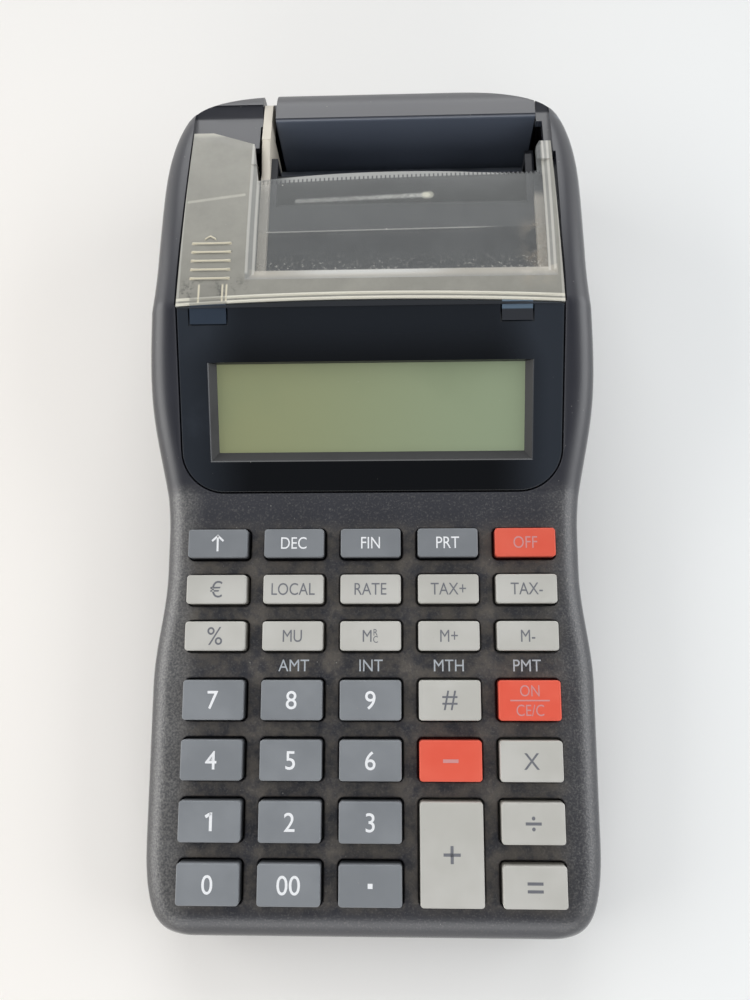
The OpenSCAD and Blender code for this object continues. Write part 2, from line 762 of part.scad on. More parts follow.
pinion_phase = mesh_phase(idler_phase, idler_n, pinion_n, motor_dir);
gear_w = 2;
gear_gap = 1.8;
gear_x = plate_x0 - gear_gap - gear_w;
pin_over = 0.5;
feed_slot = pitch_r(feed_n) + tooth_m + 2 * end_gap;

module gear_shape(n, phase) {
    root = pitch_r(n) - 1.2 * tooth_m;
    tip = pitch_r(n) + 0.85 * tooth_m;
    sunk = root - tooth_m / 2;
    root_half = 0.95 * tooth_m;
    tip_half = 0.25 * tooth_m;
    circle(root);
    for (i = [0:n - 1]) rotate(phase + 360 * i / n)
        polygon([[sunk, -root_half], [tip, -tip_half], [tip, tip_half], [sunk, root_half]]);
}
module gear(n, phase, at, bore) {
    along_x(gear_x) translate([at[0], at[1], 0]) linear_extrude(gear_w) difference() {
        gear_shape(n, phase);
        circle(bore);
    }
}
module motor_pinion() { color("ivory") gear(pinion_n, pinion_phase, motor_at, motor_shaft_r + run_fit); }
module idler_gear() { color("ivory") gear(idler_n, idler_phase, idler_at, shaft_r + run_fit); }
module drum_gear() { color("ivory") gear(drum_n, drum_phase, drum_at, shaft_r); }
module feed_gear() { color("ivory") gear(feed_n, feed_phase, feed_at, shaft_r); }

motor_shaft_r = 0.8;
motor_gap = 0.5;
motor_side_gap = 3.8;
motor_l = gear_x - motor_gap + printer_w / 2 - wall - motor_side_gap;
module drive_motor() {
    x1 = gear_x - motor_gap;
    color("lightgray") {
        rod(x1 - motor_l, x1, motor_r, motor_at);
        rod(x1 - eps, gear_x + gear_w + pin_over, motor_shaft_r, motor_at);
    }
}

// Turning pieces between the plates, each on a shaft that runs in both plates
module roller(r, at, x0) {
    rod(inner_x0 + end_gap, inner_x1 - end_gap, r, at);
    rod(x0, plate_x1, shaft_r, at);
}
wheel_n = 14;
wheel_w = 2.4;
wheel_h = 0.8;
wheel_in = 2;
wheel_pitch = (plate_gap - 2 * wheel_in) / wheel_n;
module type_drum() {
    color("dimgray") {
        roller(drum_r - wheel_h, drum_at, gear_x);
        for (i = [0:wheel_n - 1]) let (x = inner_x0 + wheel_in + (i + 0.5) * wheel_pitch)
            rod(x - wheel_w / 2, x + wheel_w / 2, drum_r, drum_at);
    }
}
module ink_roller() { color("indigo") roller(ink_r, ink_at, plate_x0); }
module feed_roller() { color("#303030") roller(feed_r, feed_at, gear_x); }
module pressure_roller() { color("#404040") roller(pressure_r, pressure_at, plate_x0); }

plate_top_gap = 3.4;
plate_y0 = cells_y1 + bay_wall + end_gap;
plate_y1 = bay_y1 - end_gap;
step_back = 2;
step_up = 3;
plate_step = [window_y0 + step_back, cells_z1 + step_up];
sole_t = 1.5;
// The left plate ends in a hook in the slot beside the flap, the right one falls behind the feed roller
hook_gap = 0.8;
hook_l = 12.5;
hook_end_gap = 3.5;
hook_end = [1.5, 2];
hook_y1 = rear_y - hook_end_gap;
hook_y0 = hook_y1 - hook_l;
hook_z = roof_top(rear_y) - notch_d + end_gap;
shelf_up = 3.2;
shelf_back = 2.5;
shelf_drop = 4.5;
hammer_gap = 2;
hammer_at = [drum_at[0] + drum_r + hammer_gap, drum_at[1]];
hammer_d = 3;
hammer_h = 8;
module plate_shape(top_y, rear_edge) {
    polygon(concat(
        [[plate_y0, floor_z], [plate_y1, floor_z]],
        rear_edge,
        [for (i = [0:roof_slices]) let (y = top_y + (plate_step[0] - top_y) * i / roof_slices)
            [y, roof_top(y) - plate_top_gap]],
        [plate_step, [plate_y0, plate_step[1]]]
    ));
}
module left_plate() {
    along_x(plate_x0) linear_extrude(plate_t) plate_shape(hook_y0 - hook_end[1], [
        [plate_y1, hook_z], [hook_y1, hook_z], [hook_y1, roof_top(hook_y1) - hook_gap - hook_end[1]],
        [hook_y1 - hook_end[0], roof_top(hook_y1) - hook_gap], [hook_y0, roof_top(hook_y0) - hook_gap]
    ]);
}
module right_plate() {
    shelf_z = feed_at[1] + shelf_up;
    shelf_y = feed_at[0] + shelf_back;
    along_x(inner_x1) linear_extrude(plate_t) plate_shape(tear_y, [
        [plate_y1, feed_at[1] - shelf_drop], [shelf_y + shelf_back, feed_at[1] - shelf_drop],
        [shelf_y, shelf_z]
    ]);
}
module printer_frame() {
    color("wheat") difference() {
        union() {
            left_plate();
            right_plate();
            box([plate_x0, plate_y0, floor_z], [plate_x1, plate_y1, floor_z + sole_t]);
            rod(gear_x - pin_over, plate_x0 + eps, shaft_r, idler_at);
        }
        for (at = [drum_at, ink_at, feed_at, pressure_at])
            rod(plate_x0 - plate_t, plate_x1 + plate_t, shaft_r + run_fit, at);
    }
}
module hammer_bar() {
    color("gray") box([inner_x0, hammer_at[0], hammer_at[1] - hammer_h / 2],
        [inner_x1, hammer_at[0] + hammer_d, hammer_at[1] + hammer_h / 2]);
}

// Dark guide: a plate under the cover's window and a chute down the paper throat, joined at both ends
guide_t = 1;
guide_under = 2.6;
guide_in = 2.5;
guide_gap = 1;
guide_low = plate_top_gap + guide_under;
guide_y0 = window_y0 + guide_in;
guide_y1 = pressure_at[0] - guide_gap;
throat_y0 = feed_at[0] + feed_r + guide_gap;
throat_lip = 2;
throat_z = feed_at[1] - throat_lip;
chute_up = 14;
chute_z = floor_z + chute_up;
bridge_w = 1.5;
bridge_z = feed_at[1] + feed_r + 2 * end_gap;
module paper_guide() {
    color("#1c1e24") {
        intersection() {
            roof_band(-guide_low, guide_t - guide_low);
            box([inner_x0, guide_y0, 0], [inner_x1, guide_y1, far]);
        }
        along_x(inner_x0) linear_extrude(plate_gap) polygon([
            [throat_y0, throat_z], [throat_y0 + guide_t, throat_z], [plate_y1, chute_z],
            [plate_y1, chute_z - guide_t], [throat_y0, throat_z - throat_lip]
        ]);
        for (x = [inner_x0, inner_x1 - bridge_w]) along_x(x) linear_extrude(bridge_w) polygon([
            [guide_y1 - guide_t, roof_top(guide_y1) - guide_low], [throat_y0, bridge_z],
            [throat_y0, throat_z - eps], [throat_y0 + guide_t, throat_z - eps],
            [throat_y0 + guide_t, bridge_z + guide_t], [throat_y0, bridge_z + guide_t],
            [guide_y1 - guide_t, roof_top(guide_y1) - guide_low + guide_t]
        ]);
    }
}

// Lower case
post_r = 2;
post_in = 3;
post_front_in = 4;
post_x = mat_w / 2 - post_in;
post_v = [board_v0 + post_front_in, row_v[3], board_v1 - post_in];
column_r = 2.6;
cradle_in = 2;
cradle_under = 2;
cradle_t = 1.5;
cradle_x = [gear_x - motor_gap - motor_l + cradle_in, gear_x - motor_gap - 2 * cradle_in];
cradle_z = motor_at[1] - cradle_under;
module board_posts() {
    difference() {
        on_deck() for (side = [-1, 1], v = post_v) translate([side * post_x, v, board_n])
            rotate([-deck_slope, 0, 0]) translate([0, 0, -far]) cylinder(r = post_r, h = far);
        on_deck() box([-far, -far, board_n - board_t - touch], [far, far, far]);
        box([-far, -far, -2 * far], [far, far, base_z + eps]);
    }
}
module motor_cradle() {
    difference() {
        for (x = cradle_x)
            box([x, motor_at[0] - motor_r, floor_z - eps], [x + cradle_t, motor_at[0] + motor_r, cradle_z]);
        rod(cradle_x[0] - cradle_t, gear_x, motor_r + run_fit, motor_at);
    }
}
module battery_box() {
    box([-bay_w / 2 - bay_wall, cells_y0 - bay_wall, base_z],
        [bay_w / 2 + bay_wall, cells_y1 + bay_wall, cells_z1 + bay_wall]);
}
module battery_room() {
    box([-bay_w / 2, cells_y0, base_z - bay_wall], [bay_w / 2, cells_y1, cells_z1]);
}
module lower_case() {
    color("#2b2d33") difference() {
        union() {
            difference() {
                intersection() {
                    body_skin();
                    box([-far / 2, -far / 2, 0], [far / 2, far / 2, part_z]);
                }
                translate([0, 0, floor_z]) linear_extrude(part_z) cavity_plan(nose_wall);
            }
            intersection() {
                body_skin();
                union() {
                    at_bosses() translate([0, 0, base_z]) cylinder(r = column_r, h = part_z - base_z);
                    board_posts();
                    motor_cradle();
                    battery_box();
                }
            }
        }
        battery_room();
        rod(-bay_w / 2 - door_pin_l, bay_w / 2 + door_pin_l, door_pin_r + run_fit, door_axis);
        at_bosses() {
            translate([0, 0, base_z - eps]) cylinder(r = head_r + slip, h = seat_z - base_z + eps);
            translate([0, 0, base_z]) cylinder(r = screw_r + slip, h = part_z);
        }
    }
}

slot_l = 1.3 * head_r;
slot_w = 0.5;
module case_screws() {
    color("silver") at_bosses() difference() {
        union() {
            translate([0, 0, seat_z - head_h]) cylinder(r = head_r, h = head_h);
            translate([0, 0, seat_z - eps]) cylinder(r = screw_r, h = part_z - seat_z + screw_up);
        }
        for (a = [0, 90]) translate([0, 0, seat_z - head_h]) rotate(a)
            cube([slot_l, slot_w, 2 * slot_w], center = true);
    }
}
foot_r = 4.5;
foot_x = 34;
foot_in = [14, 17];
foot_y = [front_y + foot_in[0], rear_y - foot_in[1]];
module rubber_feet() {
    color("black") for (x = [-foot_x, foot_x], y = foot_y)
        translate([x, y, 0]) cylinder(r = foot_r, h = foot_h);
}

upper_case();
lower_case();
battery_door();
rear_flap();
printer_cover();
display_fascia();
lcd_glass();
lcd_connector();
display_board();
circuit_board();
key_mat();
printer_frame();
paper_guide();
type_drum();
hammer_bar();
ink_roller();
feed_roller();
pressure_roller();
drive_motor();
motor_pinion();
idler_gear();
drum_gear();
feed_gear();
battery_contacts();
case_screws();
rubber_feet();
for (k = KEYS) key(k);
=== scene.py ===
# %% [markdown]
# # A handheld printing calculator
# The real object is a dark two-shell plastic case with a sloped keyboard, a glossy display fascia, a
# yellowed clear printer cover and a small drum printer. The solid model already holds every moving
# piece, so this lesson loads it as a frame and lays finer surfaces over it, piece by piece.

# %% Load the solid model
import math

import bpy
import numpy as np
from mathutils import Matrix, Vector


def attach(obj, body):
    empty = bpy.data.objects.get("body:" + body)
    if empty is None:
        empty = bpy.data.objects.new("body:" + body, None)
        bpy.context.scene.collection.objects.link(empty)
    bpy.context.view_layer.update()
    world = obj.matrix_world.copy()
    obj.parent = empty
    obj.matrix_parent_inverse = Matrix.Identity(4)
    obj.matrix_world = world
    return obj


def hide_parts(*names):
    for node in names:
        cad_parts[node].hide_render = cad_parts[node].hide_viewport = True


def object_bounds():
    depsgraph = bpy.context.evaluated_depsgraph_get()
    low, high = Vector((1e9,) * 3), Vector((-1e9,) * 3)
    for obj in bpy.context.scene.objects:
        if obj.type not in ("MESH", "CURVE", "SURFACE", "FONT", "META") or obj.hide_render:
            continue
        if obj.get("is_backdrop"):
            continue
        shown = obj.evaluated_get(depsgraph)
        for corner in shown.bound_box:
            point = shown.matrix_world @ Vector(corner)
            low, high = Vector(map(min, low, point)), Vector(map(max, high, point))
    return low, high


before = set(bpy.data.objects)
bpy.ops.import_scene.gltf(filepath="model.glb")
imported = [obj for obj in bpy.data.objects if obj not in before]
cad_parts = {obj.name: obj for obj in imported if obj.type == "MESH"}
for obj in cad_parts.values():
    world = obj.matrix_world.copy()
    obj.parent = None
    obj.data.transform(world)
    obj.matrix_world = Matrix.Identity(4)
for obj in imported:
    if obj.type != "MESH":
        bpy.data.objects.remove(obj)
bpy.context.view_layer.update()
MM = 0.001

# %% [markdown]
# ## The camera first
# A likeness can only be judged from the photograph's own viewpoint. The camera stands 0.2 m above the
# keyboard and looks almost straight down, as a hand-held phone does. Its place, its target and a
# small roll are plain numbers; the three axes of its matrix follow from them.

# %% Camera
CAMERA_AT = np.array([8.26, -55.7, 217.65])
CAMERA_AIM = np.array([0.87, -4.65, 25.0])
CAMERA_ROLL = math.radians(0.198)
CAMERA_LENS, SENSOR, CLIP = 32.4, 36, 0.005


def unit(v):
    """The vector divided by its own length."""
    return v / np.linalg.norm(v)


def add(name, data):
    """A new object in the scene that shows the data."""
    made = bpy.data.objects.new(name, data)
    bpy.context.scene.collection.objects.link(made)
    return made


def standing(across, upright, back, at):
    """The matrix of an object with these three axes, at a place in metres."""
    whole = np.eye(4)
    whole[:3] = np.column_stack([across, upright, back, at])
    return Matrix(whole.tolist())


forward = unit(CAMERA_AIM - CAMERA_AT)
level = unit(np.cross(forward, [0, 1, 0]))
right = math.cos(CAMERA_ROLL) * level + math.sin(CAMERA_ROLL) * np.cross(level, forward)
lens = bpy.data.cameras.new("camera")
lens.lens, lens.sensor_width, lens.clip_start = CAMERA_LENS, SENSOR, CLIP
camera = add("camera", lens)
camera.matrix_world = standing(right, np.cross(right, forward), -forward, CAMERA_AT * MM)
bpy.context.scene.camera = camera
print("camera looks along", forward.round(3))

# %% [markdown]
# ## Shader maths as Python maths
# A finish is a node tree, and a long list of node calls is hard to read. One small class wraps a
# socket and overloads + - * / and powers, so that `1 - mask` adds its own Math node. All other
# nodes come from a single method that takes the node's type, its settings and its inputs.


# %% Wires and recipes
def sign(operation, flip=False):
    """A method that joins a wire and another value by one Math node, in this order or the other."""
    if flip:
        return lambda self, other: self.recipe.math(operation, other, self)
    return lambda self, other: self.recipe.math(operation, self, other)


class Wire:
    """One output socket; arithmetic on it adds Math nodes to its recipe."""

    def __init__(self, recipe, socket):
        self.recipe, self.socket = recipe, socket

    __add__ = __radd__ = sign("ADD")
    __mul__ = __rmul__ = sign("MULTIPLY")
    __sub__, __rsub__ = sign("SUBTRACT"), sign("SUBTRACT", flip=True)
    __truediv__, __rtruediv__ = sign("DIVIDE"), sign("DIVIDE", flip=True)
    __pow__ = sign("POWER")

    def __abs__(self):
        return self.recipe.math("ABSOLUTE", self)


class Recipe:
    """A node tree that is written as expressions."""

    def __init__(self, tree):
        self.tree = tree

    def put(self, socket, value):
        """Links a wire to the socket, or sets a plain value on it."""
        if isinstance(value, Wire):
            self.tree.links.new(value.socket, socket)
        else:
            socket.default_value = value

    def node(self, kind, settings=None, inputs=None, out=0):
        """Adds a node: settings first, then inputs by name or number. The wire is one of its outputs."""
        made = self.tree.nodes.new("ShaderNode" + kind)
        for key, value in (settings or {}).items():
            setattr(made, key, value)
        for key, value in (inputs or {}).items():
            self.put(made.inputs[key], value)
        return Wire(self, made.outputs[out])

    def math(self, operation, a, b=0.0):
        return self.node("Math", {"operation": operation}, {0: a, 1: b})

    def least(self, a, b):
        return self.math("MINIMUM", a, b)

    def most(self, a, b):
        return self.math("MAXIMUM", a, b)

    def ramp(self, value, low, high):
        """0 where the value is below low, 1 above high, smooth between them; low may be the larger."""
        return self.node("MapRange", {"interpolation_type": "SMOOTHSTEP"},
                         {"Value": value, "From Min": low, "From Max": high})

    def blend(self, share, a, b):
        """Colour a where share is 0, colour b where it is 1."""
        return self.node("Mix", {"data_type": "RGBA"}, {0: share, 6: a, 7: b}, out=2)

    def over(self, colour, *layers):
        """Lays pairs of a mask and a screen colour over the colour, one after another."""
        for mask, shade in layers:
            colour = self.blend(mask, colour, srgb(*shade))
        return colour

    def rays(self, *kinds):
        """1 for rays of these kinds, such as those that come straight from the camera."""
        return sum(self.node("LightPath", out="Is %s Ray" % kind) for kind in kinds)

    def noise(self, size, detail=2.0, rough=0.5):
        """Cloudy values from 0 to 1, with patches of about the given size in millimetres."""
        spot = self.node("TexCoord", out="Object")
        return self.node("TexNoise", None, {"Vector": spot, "Scale": 1 / (size * MM), "Detail": detail,
                                            "Roughness": rough})

    def specks(self, pitch, size, share):
        """1 inside small dots: one cell in every pitch (mm), kept in a share of the cells."""
        cells = {"Vector": self.node("TexCoord", out="Object"), "Scale": 1 / (pitch * MM)}
        far = self.node("TexVoronoi", None, cells, out="Distance")
        pick = self.node("TexVoronoi", None, cells, out="Color")
        chosen = self.ramp(self.node("SeparateColor", None, {0: pick}), 1 - share, 1 - share * 0.8)
        return self.ramp(far, size / pitch, size / pitch * 0.5) * chosen

    def place(self):
        """The piece's own X, Y and Z in millimetres."""
        spot = self.node("TexCoord", out="Object")
        return [self.node("SeparateXYZ", None, {0: spot}, out=i) * 1000.0 for i in range(3)]


def srgb(r, g, b, a=1.0):
    """A colour as seen on a screen, 0 to 255, turned into the light it stands for."""
    c = np.array([r, g, b]) / 255
    return (*np.where(c > 0.04045, ((c + 0.055) / 1.055) ** 2.4, c / 12.92).tolist(), a)


class Finish(Recipe):
    """A material: a recipe around one Principled shader."""

    def __init__(self, name, **plain):
        self.material = bpy.data.materials.new(name)
        self.material.use_nodes = True
        super().__init__(self.material.node_tree)
        self.shader = self.tree.nodes["Principled BSDF"]
        self.set(**plain)

    def set(self, **values):
        for key, value in values.items():
            self.put(self.shader.inputs[key.replace("_", " ").title().replace("Ior", "IOR")], value)
        return self

    def bump(self, height, depth, strength=0.5):
        """Raises the surface by height (0 to 1) times depth in millimetres, in shading only."""
        self.put(self.shader.inputs["Normal"],
                 self.node("Bump", None, {"Height": height, "Distance": depth * MM, "Strength": strength}))
        return self

    def apply_to(self, mesh):
        """Makes this the only material of a mesh."""
        mesh.materials.clear()
        mesh.materials.append(self.material)


print("shader recipes ready")

# %% [markdown]
# ## A white table and soft light
# The machine lies on a white table between wide soft lamps. Plastic mirrors little, but a bright lamp
# still lays a grey veil on every face that slopes towards it, while the keyboard and the fascia mirror
# the dim ceiling right overhead and stay dark. So four broad lamps stand round the table, the rear one
# the brightest, and the world is white at the horizon and dark overhead for mirrored light only. The
# table's own white is lifted only for what the camera sees, straight or in a mirror or glass, so that it
# adds no light to the object.

# %% Table and lamps
TABLE_SIZE, NEAR, FAR = 4.0, 350, 1000
BLACK, LIFT, WHITE = (0, 0, 0, 1), (0.08, 0.08, 0.08, 1), (1.0, 1.0, 1.0, 1)
LAMP_AIM = (0, 0.06, 0.04)
LAMPS = {"rear": ((-0.05, 1.08, 0.667), 1.0, 0.85, 6.2, (0.98, 0.99, 1.0)),
         "left": ((-1.05, 0.05, 0.5), 1.2, 0.75, 7.6, (1.0, 0.99, 0.97)),
         "right": ((1.05, 0.1, 0.5), 1.2, 0.75, 6.6, (0.96, 0.98, 1.0)),
         "front": ((0.0, -1.25, 0.5), 1.2, 0.6, 4.4, (1.0, 1.0, 1.0))}


def stage_floor():
    """A square on the plane z = 0, four corners only, with painted warm light at the left and cool light at
    the right, a little painted shade behind the object, and white where it is far away."""
    corners = np.array([(-1, -1, 0), (1, -1, 0), (1, 1, 0), (-1, 1, 0)]) * TABLE_SIZE / 2
    mesh = bpy.data.meshes.new("table")
    mesh.from_pydata(corners.tolist(), [], [(0, 1, 2, 3)])
    table = add("table", mesh)
    paint = Finish("table_white", roughness=0.7, specular_ior_level=0.2)
    x, y, z = paint.place()
    # painted light and shade: warm at the left, cool at the right, greyer behind the object
    colour = paint.over(srgb(246, 241, 234), (paint.ramp(x, -160, 160), (238, 241, 241)),
                        (paint.ramp(y, 20, 190) * 0.6, (218, 218, 216)))
    lift = paint.blend(paint.ramp((x * x + y * y) ** 0.5, NEAR, FAR), LIFT, WHITE)
    lift = paint.blend(paint.rays("Camera", "Glossy", "Transmission"), BLACK, lift)
    paint.set(base_color=colour, emission_color=lift, emission_strength=1.0)
    paint.apply_to(mesh)
    table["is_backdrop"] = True


def window_light(name, at, wide, tall, power, colour):
    """A soft rectangular lamp that faces the middle of the object."""
    lamp = bpy.data.lights.new(name, "AREA")
    lamp.shape, lamp.size, lamp.size_y = "RECTANGLE", wide, tall
    lamp.energy, lamp.color = power, colour
    back = unit(np.subtract(at, LAMP_AIM))
    side = unit(np.cross([0, 0, 1], back))
    add(name, lamp).matrix_world = standing(side, np.cross(back, side), back, at)


stage_floor()
for side, lamp in LAMPS.items():
    window_light("window_" + side, *lamp)
print("table and", len(LAMPS), "lamps")

# %% [markdown]
# ## The room around the table
# The world plays three parts, told apart by the kind of ray that meets it: plain white for what the
# camera sees, straight or through something clear, a room that is white at the horizon and dim overhead
# for what the plastic mirrors, and an even grey for the soft light that fills the shadows. A picture of a
# room could do the same, but it would bring its own colours and lamps with it.

# %% Room
OVERHEAD = (-0.04, -0.417, 0.907)
AMBIENT, WALLS, CEILING = (0.38, 0.38, 0.39, 1), (0.5, 0.51, 0.53, 1), (0.13, 0.14, 0.16, 1)
world = bpy.data.worlds.new("room")
world.use_nodes = True
bpy.context.scene.world = world
sky = Recipe(world.node_tree)
toward = sky.node("TexCoord", out="Generated")
height = sky.node("SeparateXYZ", None, {0: toward}, out=2)
zenith = sky.node("VectorMath", {"operation": "DOT_PRODUCT"}, {0: toward, 1: OVERHEAD}, out="Value")
room = sky.blend(sky.ramp(height, 0.3, 0.85), WHITE, WALLS)
room = sky.blend(sky.ramp(zenith, 0.8, 0.97), room, CEILING)
lit = sky.blend(sky.rays("Glossy"), AMBIENT, room)
lit = sky.blend(sky.rays("Camera", "Transmission"), lit, WHITE)
sky.put(world.node_tree.nodes["Background"].inputs["Color"], lit)
bpy.context.scene.view_settings.view_transform = "Standard"
print("room:", len(sky.tree.nodes), "nodes")

# %% [markdown]
# ## Skins, cuts and dressing
# Almost every moulded piece here is a stack of closed rings: a curve is drawn once, then repeated at
# many stations while its size changes. Holes are cut afterwards by Boolean operations between such
# skins, which is quicker than modelling round every hole by hand. `dress` then gives a piece its
# finish, soft shading that stays flat on flat faces, and the body of the solid model it moves with.


# %% Rings to solids
def shell(rings):
    """Points and faces of a closed skin: quads join ring i to ring i + 1, flat faces close both ends.
    The signed volume, a sum of triple products, tells whether the faces have to be turned outward."""
    n, m = rings.shape[:2]
    i, j = np.meshgrid(np.arange(n - 1), np.arange(m), indexing="ij")
    a, b = i * m + j, i * m + (j + 1) % m
    quads = np.stack([a, b, b + m, a + m], -1).reshape(-1, 4)
    p = rings.reshape(-1, 3) - rings.mean((0, 1))
    q = p[quads]
    volume = np.sum(np.cross(q[:, 0], q[:, 1]) * q[:, 2]) + np.sum(np.cross(q[:, 0], q[:, 2]) * q[:, 3])
    for ring, sign in ((p[:m], -1), (p[-m:], 1)):
        volume += sign * np.sum(np.cross(ring[:-1], ring[1:]) @ ring[0])
    faces = quads.tolist() + [list(range(m))[::-1], list(range((n - 1) * m, n * m))]
    return rings.reshape(-1, 3), faces if volume > 0 else [f[::-1] for f in faces]


def solid(name, *stacks):
    """One object made of one or more closed skins, given in millimetres."""
    points, faces, start = [], [], 0
    for rings in stacks:
        p, f = shell(np.asarray(rings, float))
        points.append(p)
        faces += [[k + start for k in face] for face in f]
        start += len(p)
    mesh = bpy.data.meshes.new(name)
    mesh.from_pydata((np.concatenate(points) * MM).tolist(), [], faces)
    return add(name, mesh)


def carve(body, tool, how="DIFFERENCE"):
    """Cuts the tool from the body, joins it or keeps what both share; the tool is used up."""
    cut = body.modifiers.new("cut", "BOOLEAN")
    cut.operation, cut.solver, cut.object = how, "MANIFOLD", tool
    done = bpy.data.meshes.new_from_object(body.evaluated_get(bpy.context.evaluated_depsgraph_get()))
    body.modifiers.clear()
    old, body.data = body.data, done
    for used in (old, tool.data):
        bpy.data.meshes.remove(used)
    done.name = body.name
    return body


def dress(piece, finish, body, slot, *nodes, sharp=35):
    """Finish, shading, and the body and nodes of the solid model that the piece belongs to."""
    finish.apply_to(piece.data)
    piece.data.shade_smooth()
    piece.data.set_sharp_from_angle(angle=math.radians(sharp))
    soft = piece.modifiers.new("soft shading", "WEIGHTED_NORMAL")
    soft.keep_sharp = True
    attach(piece, body)
    if nodes:
        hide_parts(*nodes)
    return piece


def repaint(finish, *nodes):
    """Gives nodes of the solid model a finish and leaves their shape."""
    for name in nodes:
        finish.apply_to(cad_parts[name].data)


def weave(x, y, z):
    """Points from their three coordinates, each a number, a row, a column or a whole grid."""
    return np.stack(np.broadcast_arrays(x, y, z), -1)


def lift(outline, place, axis=2):
    """A flat outline set at a place along an axis: one ring."""
    return np.insert(np.asarray(outline, float), axis, place, 1)


def pull(outline, low, high, axis=2):
    """The outline at two places along an axis: two rings."""
    return np.stack([lift(outline, low, axis), lift(outline, high, axis)])


def circle(a, b, r, sides):
    """Points about (a, b) at equal angles, r away."""
    t = np.arange(sides) * 2 * np.pi / sides
    return np.column_stack([a + r * np.cos(t), b + r * np.sin(t)])


def block(low, high):
    """A box between two corners: its plan, pulled up."""
    (x0, y0, z0), (x1, y1, z1) = low, high
    return pull([[x0, y0], [x1, y0], [x1, y1], [x0, y1]], z0, z1)


def post(x, y, r, z0, z1):
    """An upright cylinder."""
    return pull(circle(x, y, r, 40), z0, z1)


def rod(x0, x1, r, y, z):
    """A pin across the body, along X."""
    return pull(circle(y, z, r, 32), x0, x1, axis=0)


print("ring tools ready")

# %% [markdown]
# ## Plastics
# The case is moulded in a tool with a fine leather grain, then years of pockets and desks leave dust
# in the grain and brown dirt between the keys. The sheen of the side windows in the grain beside the
# keys, and glints on its peaks, are painted in as grey. Each finish starts from two close colours in
# slow clouds, adds specks, and lets the grain drive both the bump and the roughness.

# %% Case finish
GRAIN = 0.45


def case_finish():
    """Dark plastic, grained on the keyboard and smooth behind it: dust specks on faces that look up,
    brown dirt between the keys, a painted grey sheen in the grain beside them, strongest at the left,
    painted glints on the grain's peaks, a painted lighter front wall in the shaded paper bay, flanks
    polished by the hand."""
    dark = Finish("case_dark_grained", specular_ior_level=0.75)
    x, y, z = dark.place()
    cloud = dark.noise(28, 3, 0.6)
    grain = dark.noise(GRAIN, 2, 0.6)
    steep = dark.node("SeparateXYZ", None, {0: dark.node("NewGeometry", out="True Normal")}, out=2)
    up = dark.ramp(steep, 0.5, 0.95)
    flank = dark.ramp(steep, 0.7, 0.3) * dark.most(dark.ramp(abs(x), 38, 42), dark.ramp(y, -88, -92))
    front = dark.ramp(y, 0, -4)
    edges = dark.ramp(abs(x), 36, 43) * front
    keyboard = dark.ramp(abs(x), 43, 38) * dark.ramp(y, -92, -88) * dark.ramp(y, -8, -13)
    dirt = dark.ramp(dark.noise(4, 4, 0.7), 0.3, 0.7) * keyboard * up
    # painted light: the paper bay's front wall, which lies in shade, is coloured lighter
    bay = dark.ramp(y, 84.6, 85.0) * dark.ramp(y, 85.9, 85.5) * dark.ramp(x, -23, -22) * (1 - up)
    dust = (dark.specks(1.3, 0.11, 0.2) + dark.specks(3.7, 0.2, 0.2) * 0.9) * up
    # painted sheen: the side windows' light in the grain beside the keys, stronger at the left
    painted_sheen = edges * up * (0.2 + dark.ramp(x, 10, -10) * 0.35) * (0.4 + dark.ramp(grain, 0.3, 0.7))
    # painted glints: light caught on the grain's peaks
    painted_glints = dark.ramp(grain, 0.5, 0.72) * front * up
    colour = dark.over(srgb(34, 35, 42), (cloud, (46, 47, 54)), (painted_glints * 0.3, (124, 122, 118)),
                       (dirt * 0.58, (112, 104, 92)), (painted_sheen, (128, 127, 124)), (bay, (92, 100, 114)),
                       (dark.least(dust * 0.6, 0.65), (176, 174, 166)))
    rough = (0.3 + cloud * 0.1 + dirt * 0.2) * (1 - flank * 0.6)
    relief = grain * (0.2 + front * 0.8 + edges * 1.2) * (1 - flank * 0.8)
    return dark.set(base_color=colour, roughness=rough).bump(relief, 0.06, 0.7)


def plain_finish(name, low, high, rough, grain=0.5, depth=0.02):
    """Moulded plastic in slow clouds between two colours, with a fine bump."""
    made = Finish(name)
    cloud = made.noise(14, 3, 0.6)
    colour = made.over(srgb(*low), (made.ramp(cloud, 0.3, 0.7), high))
    made.set(base_color=colour, roughness=rough - 0.06 + cloud * 0.12)
    return made.bump(made.noise(grain), depth)


case_dark = case_finish()
print("case finish:", case_dark.material.name, len(case_dark.tree.nodes), "nodes")

# %% [markdown]
# ## The case in formulas
# Seen from above the case is waisted: three widths run into each other on cosine waves, and the
# corners follow a superellipse, which is squarer than a circle. Seen from the side the top climbs
# gently under the keys, steeply under the display, and falls away over the printer on a parabola.
# Both views are plain functions of Y, so every cutter below can ask the same functions for its place.

# %% Outline and top line
FRONT, REAR = -96.0, 96.0
KEYS_W, WAIST_W, DISPLAY_W, PRINTER_W = 96.6, 92.0, 98.8, 96.0
KEYS_END, WAIST_Y, DISPLAY_Y = -44.8, -11.8, 20.2
FRONT_CORNER, REAR_BOW, REAR_CORNER = (8.5, 20, 2.5), (16.7, 34, 2.66), (24.9, 8.75, 1.95)
NOSE_FALL, NOSE, TAIL_FALL, TAIL = 5.5, 6, 4.7, 6.5
ROW7_Y, DECK_Z, DECK_SLOPE = -84.5, 18.0, math.radians(4.5)
FASCIA_Y, COVER_Y, FASCIA_SLOPE = -2.8, 35.4, math.radians(23)
FASCIA_Z = DECK_Z + (FASCIA_Y - ROW7_Y) * math.tan(DECK_SLOPE)
RIDGE_Z = FASCIA_Z + (COVER_Y - FASCIA_Y) * math.tan(FASCIA_SLOPE)
ROOF_FALL, SHOULDER, WALL, PART_Z, GROOVE = 6.4, 5.0, 2.4, 8.0, 0.35


